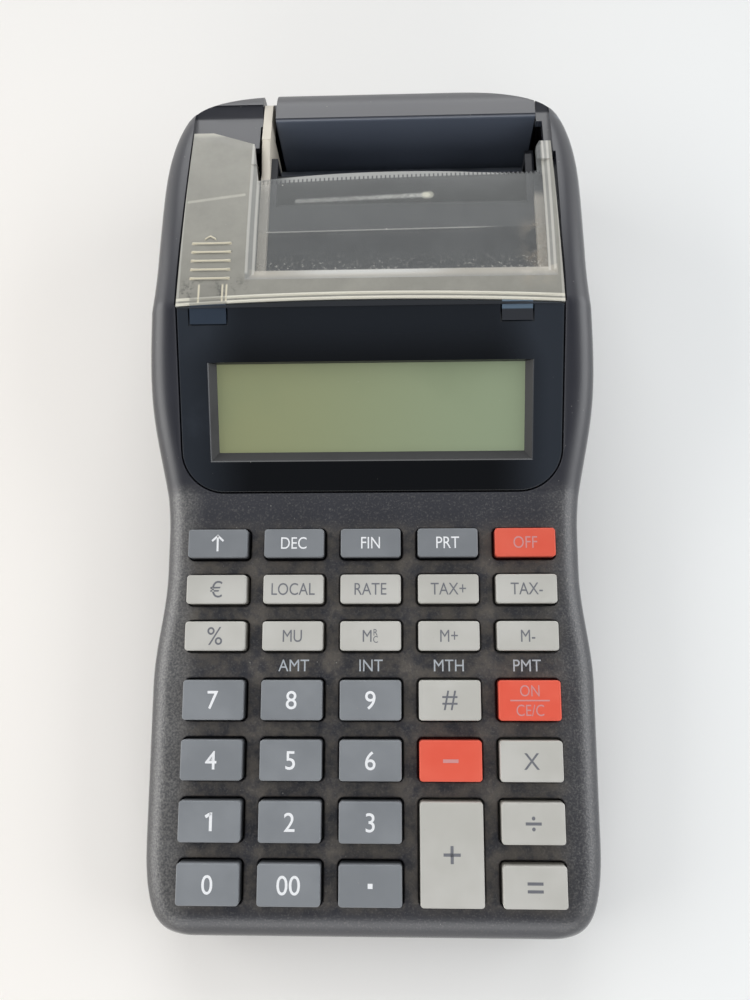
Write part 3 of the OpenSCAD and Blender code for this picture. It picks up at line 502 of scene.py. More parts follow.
def ease(a, b, u):
    """From a to b on half a cosine wave while u goes from 0 to 1."""
    return a + (b - a) * (1 - np.cos(np.pi * np.clip(u, 0, 1))) / 2


def corner(wide, long, square, d):
    """How far a superellipse corner has drawn in the side, d before the end of the case."""
    return wide * (1 - (1 - np.clip(1 - d / long, 0, 1) ** square) ** (1 / square))


def half_width(y):
    """Half the waisted width, less the corners at both ends; the rear is a long bow and a tight corner."""
    side = np.where(y < WAIST_Y, ease(KEYS_W, WAIST_W, (y - KEYS_END) / 25),
                    np.where(y < DISPLAY_Y, ease(WAIST_W, DISPLAY_W, (y - WAIST_Y) / 32),
                             ease(DISPLAY_W, PRINTER_W, (y - DISPLAY_Y) / 27))) / 2
    side = side - corner(*FRONT_CORNER, y - FRONT)
    return side - corner(*REAR_BOW, REAR - y) - corner(*REAR_CORNER, REAR - y)


def roof(y):
    """The parabola over the printer."""
    return RIDGE_Z - ROOF_FALL * ((y - COVER_Y) / (REAR - COVER_Y)) ** 2


def drop(fall, run, d):
    """Quarter ellipse: falls by `fall` over the last `run` before an end that is d away."""
    return fall * (1 - np.sqrt(1 - np.clip(1 - d / run, 0, 1) ** 2))


def top(y):
    """Height of the case: two straight slopes, the roof, and rounded ends."""
    line = np.where(y < FASCIA_Y, DECK_Z + (y - ROW7_Y) * math.tan(DECK_SLOPE),
                    np.where(y < COVER_Y, FASCIA_Z + (y - FASCIA_Y) * math.tan(FASCIA_SLOPE), roof(y)))
    return line - drop(NOSE_FALL, NOSE, y - FRONT) - drop(TAIL_FALL, TAIL, REAR - y)


def stations(a, b, n):
    """n steps from a towards b, without b."""
    return a + (b - a) * np.arange(n) / n


LENGTHWISE = np.concatenate([
    FRONT + NOSE * (1 - np.cos(np.pi / 2 * np.arange(14) / 14)), stations(FRONT + NOSE, FASCIA_Y, 60),
    stations(FASCIA_Y, COVER_Y, 40), stations(COVER_Y, REAR - TAIL, 44),
    REAR - TAIL + TAIL * np.sin(np.pi / 2 * np.arange(17) / 16)])
print("case", len(LENGTHWISE), "stations, ridge at", round(RIDGE_Z, 2), "mm")

# %% [markdown]
# ## Upper case
# The outer skin is a ring at every station: up the side, round the shoulder, across the top and back
# down. A small chamfer at the parting line gives the shadow gap between the two shells. The cavity is
# a second stack of plain rectangles, a wall's thickness inside.


# %% Upper skin and cavity
INSIDE_FRONT, INSIDE_REAR, LEDGE_Y0, LEDGE_Y1 = -92.6, 93.6, -4.8, 33.4
DECK_T, ROOF_T = 2.0, 3.9


def sections(y, right):
    """Closed rings from the right halves: the same points mirrored, in return order, complete them."""
    left = right[:, ::-1] * [-1, 1]
    ring = np.concatenate([right, left], 1)
    return weave(ring[..., 0], y[:, None], ring[..., 1])


def upper_skin(steps=14):
    """At each Y: chamfered foot, straight side, quarter-circle shoulder of radius up to SHOULDER."""
    y, t = LENGTHWISE, np.linspace(0, np.pi / 2, steps)
    w, h = half_width(y)[:, None], top(y)[:, None]
    r = np.minimum(SHOULDER, h - PART_Z - 0.6)
    zero = 0 * w
    foot = np.stack([np.hstack([w - GROOVE, w]), np.hstack([zero + PART_Z, zero + PART_Z + GROOVE])], -1)
    arc = np.stack([w - r * (1 - np.cos(t)), h - r * (1 - np.sin(t))], -1)
    return sections(y, np.concatenate([foot, arc], 1))


def cavity(floor, inset, ceiling=None):
    """At each Y a rectangle from the floor to the ceiling, `inset` inside the outline on both axes. The
    stations are closer where the outline turns quickly and where the ceiling bends."""
    y = np.concatenate([np.linspace(INSIDE_FRONT, INSIDE_REAR, 160), np.linspace(92, INSIDE_REAR, 9)[1:-1],
                        [LEDGE_Y0 - 0.01, LEDGE_Y0, LEDGE_Y1]])
    y = np.sort(y)
    w = np.minimum(half_width(y) - inset, half_width(np.minimum(REAR, y + inset)))
    w = np.minimum(w, half_width(np.maximum(FRONT, y - inset)))
    z = np.full_like(y, PART_Z + 3) if ceiling is None else ceiling(y)
    right = np.stack([np.stack([w, 0 * w + floor], -1), np.stack([w, z], -1)], 1)
    return sections(y, right)


def ceiling(y):
    """The underside of the deck, of the display's ledge and of the roof, each its thickness lower."""
    nose = np.array([INSIDE_FRONT, -90.0])
    ledge = np.interp(y, [LEDGE_Y0, LEDGE_Y1],
                      [FASCIA_Z - 2 * math.tan(FASCIA_SLOPE) - 3.694, RIDGE_Z - ROOF_T])
    behind = np.where(y < LEDGE_Y1, ledge, top(np.maximum(y, COVER_Y)) - ROOF_T)
    deck = np.where(y < nose[1], np.interp(y, nose, top(nose) - DECK_T), top(y) - DECK_T)
    return np.where(y <= LEDGE_Y0 - 0.01, deck, behind)


upper = carve(solid("case_upper", upper_skin()), solid("hollow", cavity(PART_Z - 2, WALL, ceiling)))
print("upper shell:", len(upper.data.polygons), "faces")

# %% [markdown]
# ## Openings in the upper case
# Key holes get a tiny rounded lip, because a moulded edge is never sharp and the lip catches the
# light. The keyboard and the display lie on slopes, so their cutters are drawn flat in millimetres
# and then laid onto the slope by one turn about X.


# %% Sloped places
def on_slope(points, y0, z0, angle):
    """Flat (x, distance up the slope, height above it) turned about X and set at (0, y0, z0)."""
    x, s, n = np.moveaxis(np.asarray(points, float), -1, 0)
    c, k = math.cos(angle), math.sin(angle)
    return weave(x, y0 + s * c - n * k, z0 + s * k + n * c)


def on_deck(points):
    return on_slope(points, ROW7_Y, DECK_Z, DECK_SLOPE)


def on_fascia(points):
    return on_slope(points, FASCIA_Y, FASCIA_Z, FASCIA_SLOPE)


def round_rect(w, l, r, steps=6):
    """Rectangle w by l about the origin whose corners are quarter circles of radius r."""
    a = np.tile(np.linspace(0, np.pi / 2, steps), 4) + np.repeat(np.arange(4), steps) * np.pi / 2
    x = np.repeat([1, -1, -1, 1], steps) * (w / 2 - r) + r * np.cos(a)
    y = np.repeat([1, 1, -1, -1], steps) * (l / 2 - r) + r * np.sin(a)
    return np.stack([x, y], -1)


def tower(x, v, w, l, r, levels):
    """Rounded rectangles about (x, v), one for each (growth, height)."""
    return np.stack([lift(round_rect(w + 2 * g, l + 2 * g, max(r + g, 0.05)) + [x, v], n) for g, n in levels])


def lip(depth, r):
    """Levels of a hole: straight from the given depth, then a quarter-round flare of radius r."""
    t = np.linspace(0, np.pi / 2, 5)
    return [(0, -depth)] + list(zip(r * (1 - np.cos(t)), r * (np.sin(t) - 1))) + [(r, 2.0)]


print("slopes, degrees:", [round(math.degrees(a), 1) for a in (DECK_SLOPE, FASCIA_SLOPE)])

# %% [markdown]
# ## Where the keys are
# The keys stand in five columns and seven rows. They could be placed one by one, but a table of names,
# typed as they lie on the deck, is easier to check: the column gives X, the row gives the distance up the
# slope, and only the tall plus key spans two rows. The same table later makes the holes, the keys and
# their legends, so nothing can drift apart.

# %% Key places
PITCH, KEY_W, PLAY = 16.7, 13.0, 0.35
FUNCTION_L, NUMBER_L = 6.2, 8.3
ROW_V = [70.3, 60.3, 50.3, 36.9, 24.6, 12.3, 0.0]
KEYBOARD = """
feed decimal final print off
euro local rate tax_plus tax_minus
percent markup memory_recall memory_plus memory_minus
7 8 9 count on_clear
4 5 6 minus times
1 2 3 plus divide
0 00 point . equals"""
RED = {"off", "on_clear", "minus"}
LIGHT = set("""euro local rate tax_plus tax_minus percent markup memory_recall memory_plus memory_minus
count times plus divide equals""".split())
keys = {}
for row, names in enumerate(KEYBOARD.split("\n")[1:]):
    for column, name in enumerate(names.split()):
        if name != ".":
            keys[name] = [(column - 2) * PITCH, ROW_V[row], KEY_W, FUNCTION_L if row < 3 else NUMBER_L]
keys["plus"] = [PITCH, (ROW_V[5] + ROW_V[6]) / 2, KEY_W, NUMBER_L + ROW_V[5]]
print(len(keys), "keys")

# %% [markdown]
# ## Cutting
# Every opening is a cutter of its own: a row of towers for the keys, a U for the fascia, slabs that follow
# the roof for the cover's seat, and plain boxes for the paper bay, the gears and the flap. A Boolean with
# the manifold solver takes them away one by one, which keeps the shell closed after each step.

# %% Cut the openings
COVER_X = 42.2
TONGUES = [(-35.2, 8.0), (32.0, 6.6)]
TONGUE_Z = FASCIA_Z + (31.6 - FASCIA_Y) * math.tan(FASCIA_SLOPE)
PANEL_X0, PANEL_X1, TEAR_Y = -28.4, 42.0, 67.0


def fascia_outline(grow, s1, r=9.5, w=84.6, steps=16):
    """A U: two quarter circles at the low end, straight sides up to s1."""
    t = np.linspace(0, np.pi / 2, steps)
    half, r = w / 2 + grow, r + grow
    right = np.column_stack([half - r + r * np.sin(t), r - grow - r * np.cos(t)])
    return np.concatenate([right, [[half, s1], [-half, s1]], right[::-1] * [-1, 1]])


def roof_run(x0, x1, y, low, high):
    """At each Y a rectangle from x0 to x1 between two heights measured from the roof."""
    z = roof(y)[:, None] + np.stack([low, low, high, high], 1)
    x = np.stack([x0 + 0 * y, x1 + 0 * y, x1 + 0 * y, x0 + 0 * y], 1)
    return weave(x, y[:, None], z)


FLAP_AXIS, BARREL = (94.1, 12.6), 1.9
FLAP_X0, FLAP_X1, LUG_X1, SKY, BEYOND = -22.5, 38.5, 24.0, 80, 106
BARREL_X0, BARREL_X1 = FLAP_X0 - PLAY, LUG_X1 + PLAY
TONGUE_SLOTS = [((x - w / 2 - PLAY, 31.25, TONGUE_Z - PLAY), (x + w / 2 + PLAY, 43, RIDGE_Z + 10))
                for x, w in TONGUES]
GLASS_ROOM = (-37.25, 5.55, -12), (37.25, 30.55, 0)
PAPER_BAY = (-26.2, 41.6, 10.4), (40.2, 84.8, SKY)
GEAR_ROOM = (-29.65, 63.8, 28.5), (-25.5, 78.2, SKY)
FLAP_ROOM = (BARREL_X0, 84.79, 15.7 - 2 * PLAY), (FLAP_X1 + PLAY, BEYOND, SKY)
LUG_ROOM = (BARREL_X0, 92.2, 12.6), (BARREL_X1, BEYOND, 15.74)
NOTCH = (-25.8, 84.79, 29.25), (FLAP_X0, BEYOND, SKY)


def fascia_tower(levels, reach):
    """The U repeated once for each (growth, height); reach gives where its sides end."""
    return on_fascia(np.stack([lift(fascia_outline(g, reach(g)), n) for g, n in levels]))


holes = [tower(x, v, w + 2 * PLAY, l + 2 * PLAY, 1.05, lip(5, 0.35)) for x, v, w, l in keys.values()]
carve(upper, solid("key_cutter", *map(on_deck, holes)))
seat_levels = [(0, -1.8), (0, -0.3), (0.09, -0.09), (0.3, 0), (0.3, 9)]
carve(upper, solid("fascia_cutter", fascia_tower(seat_levels, lambda grow: 41.5)))
carve(upper, solid("glass_cutter", on_fascia(block(*GLASS_ROOM))))
seat_y = np.concatenate([np.linspace(COVER_Y - 0.01, 88, 60), [90.4]])
seat_low = np.where(seat_y > 89, -0.5, -1.9)
seat_x = np.interp(seat_y, [42, 77], [42.55, 41.8])
carve(upper, solid("cover_cutter", roof_run(-seat_x, seat_x, seat_y, seat_low, 0 * seat_y + 8)))
seat_y = np.linspace(40.55, 74.15, 40)
panel_room = roof_run(PANEL_X0 - PLAY, PANEL_X1 + PLAY, seat_y, 0 * seat_y - 3.1, 0 * seat_y + 8)
carve(upper, solid("panel_cutter", panel_room))
for box in [PAPER_BAY, GEAR_ROOM, *TONGUE_SLOTS, FLAP_ROOM, LUG_ROOM, NOTCH]:
    carve(upper, solid("box_cutter", block(*box)))
bosses = solid("hinge_boss", rod(-25.3, BARREL_X0, 2.0, *FLAP_AXIS), rod(BARREL_X1, 26.8, 2.0, *FLAP_AXIS))
carve(upper, carve(bosses, solid("skin", upper_skin()), "INTERSECT"), "UNION")
carve(upper, solid("hinge_cutter", rod(BARREL_X0, BARREL_X1, BARREL + PLAY, *FLAP_AXIS)))
carve(upper, solid("hinge_cutter", block((BARREL_X0, 91.85, 10.35), (BARREL_X1, BEYOND, 12.61))))
carve(upper, solid("pin_cutter", rod(-24.5, 26.0, 0.85, *FLAP_AXIS)))
dress(upper, case_dark, "case", "case_plastic", "upper_case")
print("upper case:", len(upper.data.polygons), "faces")

# %% [markdown]
# ## Lower case
# The lower shell is a shallow tray with rounded flanks. Its screws sit in counterbored columns, and the
# battery room is a box that opens downward under the door. The same outline function keeps it flush
# with the upper shell.

# %% Lower skin
BASE_Z, FLOOR_Z, LOW_INSET, LOW_RISE = 1.5, 3.3, 4.0, (3, 4)
SCREWS = [(30.0, -92.6), (25.05, -40.28), (42.6, 26.0), (42.6, 64.0)]
BATTERY_BOX = (-31.8, -7.2, BASE_Z + 0.01), (31.8, 48.7, 19.6)
BATTERY_ROOM = (-30.6, -6, 0), (30.6, 47.5, 18.4)


def lower_skin(steps=10):
    """At each Y: flat bottom, a quarter ellipse up the flank, chamfer at the parting line."""
    y, t = LENGTHWISE, np.linspace(0, np.pi / 2, steps)
    rise = (drop(*LOW_RISE, y - FRONT) + drop(*LOW_RISE, REAR - y))[:, None]
    w = half_width(y)[:, None]
    high = PART_Z - GROOVE
    flank = np.stack([w - LOW_INSET * (1 - np.sin(t)), high - (high - BASE_Z - rise) * np.cos(t)], -1)
    edge = np.stack([w - GROOVE, 0 * w + PART_Z], -1)
    return sections(y, np.concatenate([flank, edge], 1))


columns = [(s * x, y) for x, y in SCREWS for s in (-1, 1)]
lower = carve(solid("case_lower", lower_skin()), solid("hollow", cavity(FLOOR_Z, WALL + 1)))
pillars = [post(x, y, 2.6, BASE_Z + 0.01, PART_Z - 0.02) for x, y in columns[2:]]
carve(lower, solid("column", *pillars), "UNION")
carve(lower, solid("battery_box", block(*BATTERY_BOX)), "UNION")
carve(lower, solid("battery_room", block(*BATTERY_ROOM)))
carve(lower, solid("screw_hole", *[post(x, y, 1.25, 0, 12) for x, y in columns]))
carve(lower, solid("screw_seat", *[post(x, y, 2.2, 0, 4.5) for x, y in columns]))
dress(lower, case_dark, "case", "case_plastic", "lower_case")
print("lower case:", len(lower.data.polygons), "faces")

# %% [markdown]
# ## Rear flap
# The flap is cut out of the very same skin as the case, so its outside flows on without a step. What
# lies inside its room is kept and the cavity behind its front wall is taken away. That wall turns down
# from the top on a soft edge and closes the paper throat. A round barrel with two pins forms the hinge
# at the rear.

# %% Flap
def edge_cutter(y, z, r, x0=-30.0, x1=45.0):
    """What lies outside a quarter circle on a front edge: two rings across the body."""
    t = np.linspace(np.pi, np.pi / 2, 8)
    arc = np.column_stack([y + r + r * np.cos(t), z - r + r * np.sin(t)])
    return pull(np.concatenate([[(y - 2, z - r)], arc, [(y + r, z + 3), (y - 2, z + 3)]]), x0, x1, axis=0)


FLAP_Y, FLAP_WALL_Y, INSET = 85.15, 86.75, 0.01
x0, x1, lug_x1 = FLAP_X0 + INSET, FLAP_X1 - INSET, LUG_X1 - INSET
flap = solid("paper_flap", upper_skin())
flap_room = solid("flap_room", block((x0, FLAP_Y, 15.72), (x1, BEYOND, SKY)))
carve(flap_room, solid("flap_lug", block((x0, 92.55, 12.6), (lug_x1, BEYOND, 15.75))), "UNION")
carve(flap_room, solid("flap_barrel", rod(x0, lug_x1, BARREL, *FLAP_AXIS)), "UNION")
carve(flap, flap_room, "INTERSECT")
flap_hollow = solid("hollow", cavity(PART_Z - 2, WALL, ceiling))
carve(flap_hollow, solid("behind", block((-60, FLAP_WALL_Y, 15.69), (60, 120, SKY))), "INTERSECT")
carve(flap, flap_hollow)
carve(flap, solid("front_edge", edge_cutter(FLAP_Y, float(roof(FLAP_Y)), 1.1)))
flap_pins = solid("flap_pins", rod(-24.3, 25.8, 0.8, *FLAP_AXIS))
carve(flap, carve(flap_pins, solid("skin", upper_skin()), "INTERSECT"), "UNION")
dress(flap, case_dark, "flap", "case_plastic", "rear_flap")
print("flap:", len(flap.data.polygons), "faces")

# %% [markdown]
# ## Display
# A gloss black fascia lies in its seat on the slope. Its window has bevelled walls, wide at the bottom
# edge, that run down to the glass. The bevel is one cutter with a large upper and a smaller lower
# rectangle. At the top the fascia folds over the crest and meets the cover on a shallow arc: a slab
# that follows the roof is cut to that plan by an upright prism and joined on. The glass itself is
# already right in the solid model and only needs its finish.

# %% Fascia and glass
WINDOW_TOP, WINDOW_LOW = (-35.7, 7.1, 35.7, 29.0), (-34.0, 9.0, 34.0, 28.6)


def window_cutter(depth=1.8):
    """A frustum: rectangle corners run straight from the upper to the lower window and beyond both."""
    high, low = [np.array([[a, b], [c, b], [c, d], [a, d]]) for a, b, c, d in (WINDOW_TOP, WINDOW_LOW)]
    return np.stack([lift(high + (low - high) * u, -depth * u) for u in (1.4, -0.4)])


def gloss_finish():
    """Polished black with dust, faint wiping marks in the roughness and a cloudy film, with a painted navy
    reflection that grows towards the sides, the right and the top. The window's walls, found by their
    depth under the slope, are satin and keep out of the painted reflection."""
    black = Finish("fascia_gloss", specular_ior_level=0.5)
    x, y, z = black.place()
    depth = (y - FASCIA_Y) * math.sin(FASCIA_SLOPE) - (z - FASCIA_Z) * math.cos(FASCIA_SLOPE)
    wall = black.ramp(depth, 0.1, 0.3) * black.ramp(abs(x), 36.2, 35.9) * black.ramp(y, 31, 30)
    dust = black.specks(1.6, 0.07, 0.2) + black.specks(5.3, 0.12, 0.25)
    film = black.ramp(black.noise(16, 4, 0.7), 0.45, 0.8)
    # painted reflection: navy, stronger towards the sides, the right and the top
    sides = (black.ramp(abs(x), 26, 42) * (0.8 + film * 0.4) + black.ramp(x, 30, 42) * 0.3
             + black.ramp(y, 22, 32) * 0.4)
    colour = black.over(srgb(10, 11, 13), (sides * (1 - wall), (46, 51, 58)),
                        (black.least(dust, 1.0) * 0.6, (150, 148, 142)))
    return black.set(base_color=colour, roughness=0.07 + film * 0.1 + dust * 0.3 + wall * 0.38)


def lcd_finish():
    """Grey-green film that is a little warmer at the left, under glass."""
    film = Finish("lcd_film", specular_ior_level=0.5, coat_weight=0.4)
    x, y, z = film.place()
    patch = film.noise(22, 3)
    colour = film.over(srgb(148, 153, 114), (film.ramp(x, -36, 36), (149, 163, 133)),
                       (film.ramp(patch, 0.4, 0.75) * 0.35, (128, 141, 110)),
                       (film.specks(2.6, 0.1, 0.14) * 0.5, (190, 194, 176)))
    return film.set(base_color=colour, roughness=0.3 + patch * 0.1)


def cover_front(x):
    """The seam between fascia and cover on plan: a shallow arc, 1.2 mm further back in the middle."""
    return 36.3 - 1.2 * (x / COVER_X) ** 2


def slab(name, low, high, plan):
    """What lies between two heights measured from the roof, cut to its plan by an upright prism."""
    y = np.linspace(COVER_Y - 1.5, 92, 90)
    wide = solid(name, roof_run(-60, 60, y, 0 * y + low, 0 * y + high))
    return carve(wide, solid("plan", pull(plan, 0, SKY)), "INTERSECT")


gloss_black, lcd_film = gloss_finish(), lcd_finish()
fascia_levels = [(-0.2, -1.78), (-0.2, -0.4), (-0.29, -0.17), (-0.42, -0.05), (-0.6, 0)]
fascia = solid("display_fascia_gloss", fascia_tower(fascia_levels, lambda grow: 40.95 + grow + 0.2))
carve(fascia, solid("window", on_fascia(window_cutter())))
for box in TONGUE_SLOTS:
    carve(fascia, solid("slot", block(*box)))
crest_x = np.linspace(-41.4, 41.4, 41)
low, high = [np.column_stack([crest_x, y]) for y in (0 * crest_x + 34.7, cover_front(crest_x) - 0.3)]
carve(fascia, slab("crest", -1.5, -0.06, np.concatenate([low, high[::-1]])), "UNION")
dress(fascia, gloss_black, "case", "gloss_black", "display_fascia", sharp=25)
repaint(lcd_film, "lcd_glass")
print("fascia:", len(fascia.data.polygons), "faces")

# %% [markdown]
# ## Keys
# A key is a tower of rounded rectangles: a flange under the deck that keeps it from falling out, the
# straight shaft through the hole, and a soft top edge. Each key is its own object, because each one
# travels on its own. A stem below reaches through the rubber mat.

# %% Key finishes and towers
KEY_TOP, FLANGE_N, FLANGE_T, EDGE = 3.2, -2.3, 0.9, 0.32
STEM_R, STEM_N = 1.6, -4.3


def key_finish(name, low, high, shade):
    """Satin plastic in slow clouds; painted shade darkens the sides towards the deck, and a little the
    rearmost rows. The height above the deck is the distance along its normal."""
    made = Finish(name, specular_ior_level=0.4)
    x, y, z = made.place()
    height = (z - DECK_Z) * math.cos(DECK_SLOPE) - (y - ROW7_Y) * math.sin(DECK_SLOPE)
    cloud = made.noise(16, 3, 0.6)
    # painted shade on the key's sides, darkest at the deck
    painted_shade = made.ramp(height, 2.9, 0.6) * 0.85 + made.ramp(y, -26, -20) * 0.1
    colour = made.over(srgb(*low), (made.ramp(cloud, 0.3, 0.7), high),
                       (made.specks(2.3, 0.14, 0.25) * 0.35, (168, 164, 154)), (painted_shade, shade))
    return made.set(base_color=colour, roughness=0.42 + cloud * 0.12).bump(made.noise(0.3), 0.012)


key_finishes = {"key_dark": key_finish("key_charcoal", (127, 131, 135), (138, 142, 146), (24, 25, 30)),
                "key_light": key_finish("key_pale_grey", (190, 189, 182), (200, 199, 193), (92, 88, 80)),
                "key_red": key_finish("key_red", (231, 92, 70), (236, 104, 82), (96, 26, 22))}


def key_levels():
    """Flange, shaft, then a quarter-round edge up to the top."""
    t = np.linspace(0, np.pi / 2, 6)
    edge = list(zip(EDGE * (np.cos(t) - 1), KEY_TOP - EDGE + EDGE * np.sin(t)))
    return [(0.9, FLANGE_N - FLANGE_T), (0.9, FLANGE_N), (0, FLANGE_N)] + edge


def key_slot(name):
    return "key_red" if name in RED else "key_light" if name in LIGHT else "key_dark"


for name, (x, v, w, l) in keys.items():
    stem = pull(circle(x, v, STEM_R, 24), STEM_N, FLANGE_N - FLANGE_T - 0.01)
    cap = solid("cap_" + name, on_deck(tower(x, v, w, l, 0.7, key_levels())), on_deck(stem))
    dress(cap, key_finishes[key_slot(name)], "key_" + name, key_slot(name), "key_" + name)
print(len(keys), "keys dressed")

# %% [markdown]
# ## Legends
# The legends are printed, so they are flat ink a hair above the plastic. Words are set as text, turned
# into a mesh, narrowed a little and centred on their own box. Simple signs, such as the feed arrow, are
# drawn from straight strokes, which keeps their weight even. All are laid on the slope and ride with
# their key.

# %% Printed words
INK = {"key_dark": (244, 246, 248), "key_light": (116, 118, 124), "key_red": (214, 150, 148),
       "deck": (214, 221, 227)}
inks = {slot: plain_finish("ink_" + slot, np.subtract(c, 8), c, 0.55) for slot, c in INK.items()}
WORDS = {"decimal": "DEC", "final": "FIN", "print": "PRT", "off": "OFF", "local": "LOCAL", "rate": "RATE",
         "tax_plus": "TAX+", "tax_minus": "TAX-", "markup": "MU", "memory_plus": "M+", "memory_minus": "M-"}
SIGNS = {"euro": ("€", 3.6), "percent": ("%", 3.8), "count": ("#", 4.0), "times": ("X", 3.3),
         "divide": ("÷", 2.9)}
STROKES = {"feed": (0.44, [((0, -1.75), (0, 1.55)), ((-1.25, 0.5), (0.16, 1.8)),
                           ((1.25, 0.5), (-0.16, 1.8))]),
           "1": (0.62, [((0.35, -1.85), (0.35, 1.85)), ((-0.75, 0.95), (0.4, 1.68))]),
           "minus": (0.72, [((-1.6, 0), (1.6, 0))]), "point": (1.0, [((-0.5, 0), (0.5, 0))]),
           "plus": (0.62, [((-1.75, 0), (1.75, 0)), ((0, -1.75), (0, 1.75))]),
           "equals": (0.6, [((-1.6, 0.75), (1.6, 0.75)), ((-1.6, -0.75), (1.6, -0.75))]),
           "bar": (0.3, [((-4.1, 0), (4.1, 0))])}
CAP, NARROW, HAIR = 0.69, 0.82, 0.02
DIGIT_H, WORD_H, PAIR_H, SMALL_H, LABEL_V = 3.7, 2.55, 2.3, 1.4, 44.1


def lay(name, mesh, flat, x, v, n, ink, body):
    """Sets flat points about (x, v) on the deck's slope and hands the piece to its body."""
    mesh.vertices.foreach_set("co", (on_deck(flat + [x, v, n]) * MM).ravel())
    mesh.update()
    piece = add(name, mesh)
    inks[ink].apply_to(mesh)
    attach(piece, body)
    ink if ink != "deck" else "key_light"


def print_word(name, text, size, narrow=NARROW, fit=False, bold=0.0, **put):
    """The letters' outline as a flat mesh about the origin, scaled by letter height or by its own box."""
    curve = bpy.data.curves.new("word", "FONT")
    curve.body, curve.size, curve.resolution_u, curve.offset = text, size / CAP, 6, bold
    holder = add("word", curve)
    mesh = bpy.data.meshes.new_from_object(holder.evaluated_get(bpy.context.evaluated_depsgraph_get()))
    bpy.data.objects.remove(holder)
    flat = np.empty(len(mesh.vertices) * 3)
    mesh.vertices.foreach_get("co", flat)
    flat = flat.reshape(-1, 3)
    low, high = flat.min(0), flat.max(0)
    flat = (flat - (low + high) / 2) * (size / (high[1] - low[1]) if fit else 1.0) * [narrow, 1, 1]
    lay(name, mesh, flat, **put)


def print_strokes(name, sign, **put):
    """Each stroke is a rectangle: its two ends moved sideways by half the width."""
    width, lines = STROKES[sign]
    a, b = np.moveaxis(np.array(lines, float), 1, 0)
    along = b - a
    side = np.stack([-along[:, 1], along[:, 0]], -1) / np.linalg.norm(along, axis=1)[:, None] * width / 2
    flat = lift(np.stack([a - side, b - side, b + side, a + side], 1).reshape(-1, 2), 0)
    mesh = bpy.data.meshes.new(name)
    mesh.from_pydata(flat.tolist(), [], np.arange(len(flat)).reshape(-1, 4).tolist())
    lay(name, mesh, flat, **put)


for name, (x, v, w, l) in keys.items():
    put = {"x": x, "v": v, "n": KEY_TOP + HAIR, "ink": key_slot(name), "body": "key_" + name}
    if name in STROKES:
        print_strokes("legend_" + name, name, **put)
    elif name in SIGNS:
        print_word("legend_" + name, *SIGNS[name], narrow=0.95, fit=True, **put)
    elif name == "on_clear":
        print_word("legend_on", "ON", PAIR_H, **{**put, "v": v + 2.0})
        print_strokes("legend_bar", "bar", **put)
        print_word("legend_clear", "CE/C", PAIR_H, **{**put, "v": v - 2.0})
    elif name == "memory_recall":
        print_word("legend_memory", "M", 2.5, **{**put, "x": x - 0.7})
        print_word("legend_recall", "R", SMALL_H, **{**put, "x": x + 1.1, "v": v + 0.75})
        print_word("legend_recall_clear", "C", SMALL_H, **{**put, "x": x + 1.1, "v": v - 0.75})
    elif name in WORDS:
        print_word("legend_" + name, WORDS[name], WORD_H, **put)
    else:
        print_word("legend_" + name, name, DIGIT_H, narrow=0.95, bold=0.025, **put)
for column, text in zip((2, 3, 4, 5), ("AMT", "INT", "MTH", "PMT")):
    print_word("label_" + text.lower(), text, 2.5, narrow=0.9, x=(column - 3) * PITCH, v=LABEL_V, n=HAIR,
               ink="deck", body="case")
print("legends printed")

# %% [markdown]
# ## Clear cover
# The cover is one clear moulding: a frame that follows the roof, a sunk window panel with a serrated
# edge that tears the paper, grip ridges for the thumb and two tongues under the fascia. Again slabs
# that follow the roof are cut to their plan by an upright prism. Old clear plastic is neither glass nor
# paint: it lets light through and still scatters some of it, so its finish mixes a grey haze in by
# Alpha, more where it is thick, scratched or seen along an edge.

# %% Cover shape
FRAME_T, PANEL_DROP = 1.5, 1.2
WALL_X0, WALL_X1, WALL_Y0, WALL_Y1 = -27.4, 41.0, 41.4, 44.1
front_x = np.linspace(-COVER_X, COVER_X, 41)
COVER_PLAN = np.concatenate([np.column_stack([front_x, cover_front(front_x)]),
                             [(41.4, 77.2), (38.8, 77.2), (38.0, 75.6), (38.0, 67), (-25.6, 67), (-27, 77.9),
                              (-36.8, 81.5), (-41.4, 81.5)]])
RIDGES_Y, CARET_X = 41.7 + 2.2 * np.arange(5), -35.4


def window_walls():
    """Sloped walls round the sunk window: the cut's floor sinks from 0 to PANEL_DROP behind the front
    wall, and its sides draw in by as much as it has sunk."""
    y = np.concatenate([np.linspace(WALL_Y0, WALL_Y1, 8), np.linspace(45, 72, 30)])
    sunk = np.clip((y - WALL_Y0) / 2.7, 0.004, 1)
    zero, sink = 0 * y, -PANEL_DROP * sunk
    x0, x1 = zero + WALL_X0, zero + WALL_X1
    x = np.stack([x0, x0 + 2.2 * sunk, x1 - 1.8 * sunk, x1, x1, x0], 1)
    z = roof(y)[:, None] + np.stack([zero, sink, sink, zero, zero + 6, zero + 6], 1)
    return weave(x, y[:, None], z)


def tear_line(x):
    """Where the teeth stand on plan: an arc that ends straight at the right."""
    return 69.0 - 1.5 * ((38 - x) / 61) ** 2


def teeth(pitch=1.0, depth=0.8):
    """Plan of the panel: straight sides and a zigzag rear edge that bows back in the middle."""
    x = np.arange(-26.9, 40.6, pitch / 2)
    rise = np.maximum(tear_line(x) - 0.4 + depth * (np.arange(len(x)) % 2), 70.0 - 1.5 * ((x - 6) / 28) ** 2)
    zigzag = np.column_stack([x, rise])[::-1]
    front = [(PANEL_X0, 40.9), (PANEL_X1, 40.9), (PANEL_X1, TEAR_Y)]
    return np.concatenate([front, zigzag, [(PANEL_X0, TEAR_Y)]])


def caret_line(x):
    """A small roof shape on plan that points to the rear, for the thumb."""
    return 52.35 - 0.6 * abs(x - CARET_X) ** 1.2


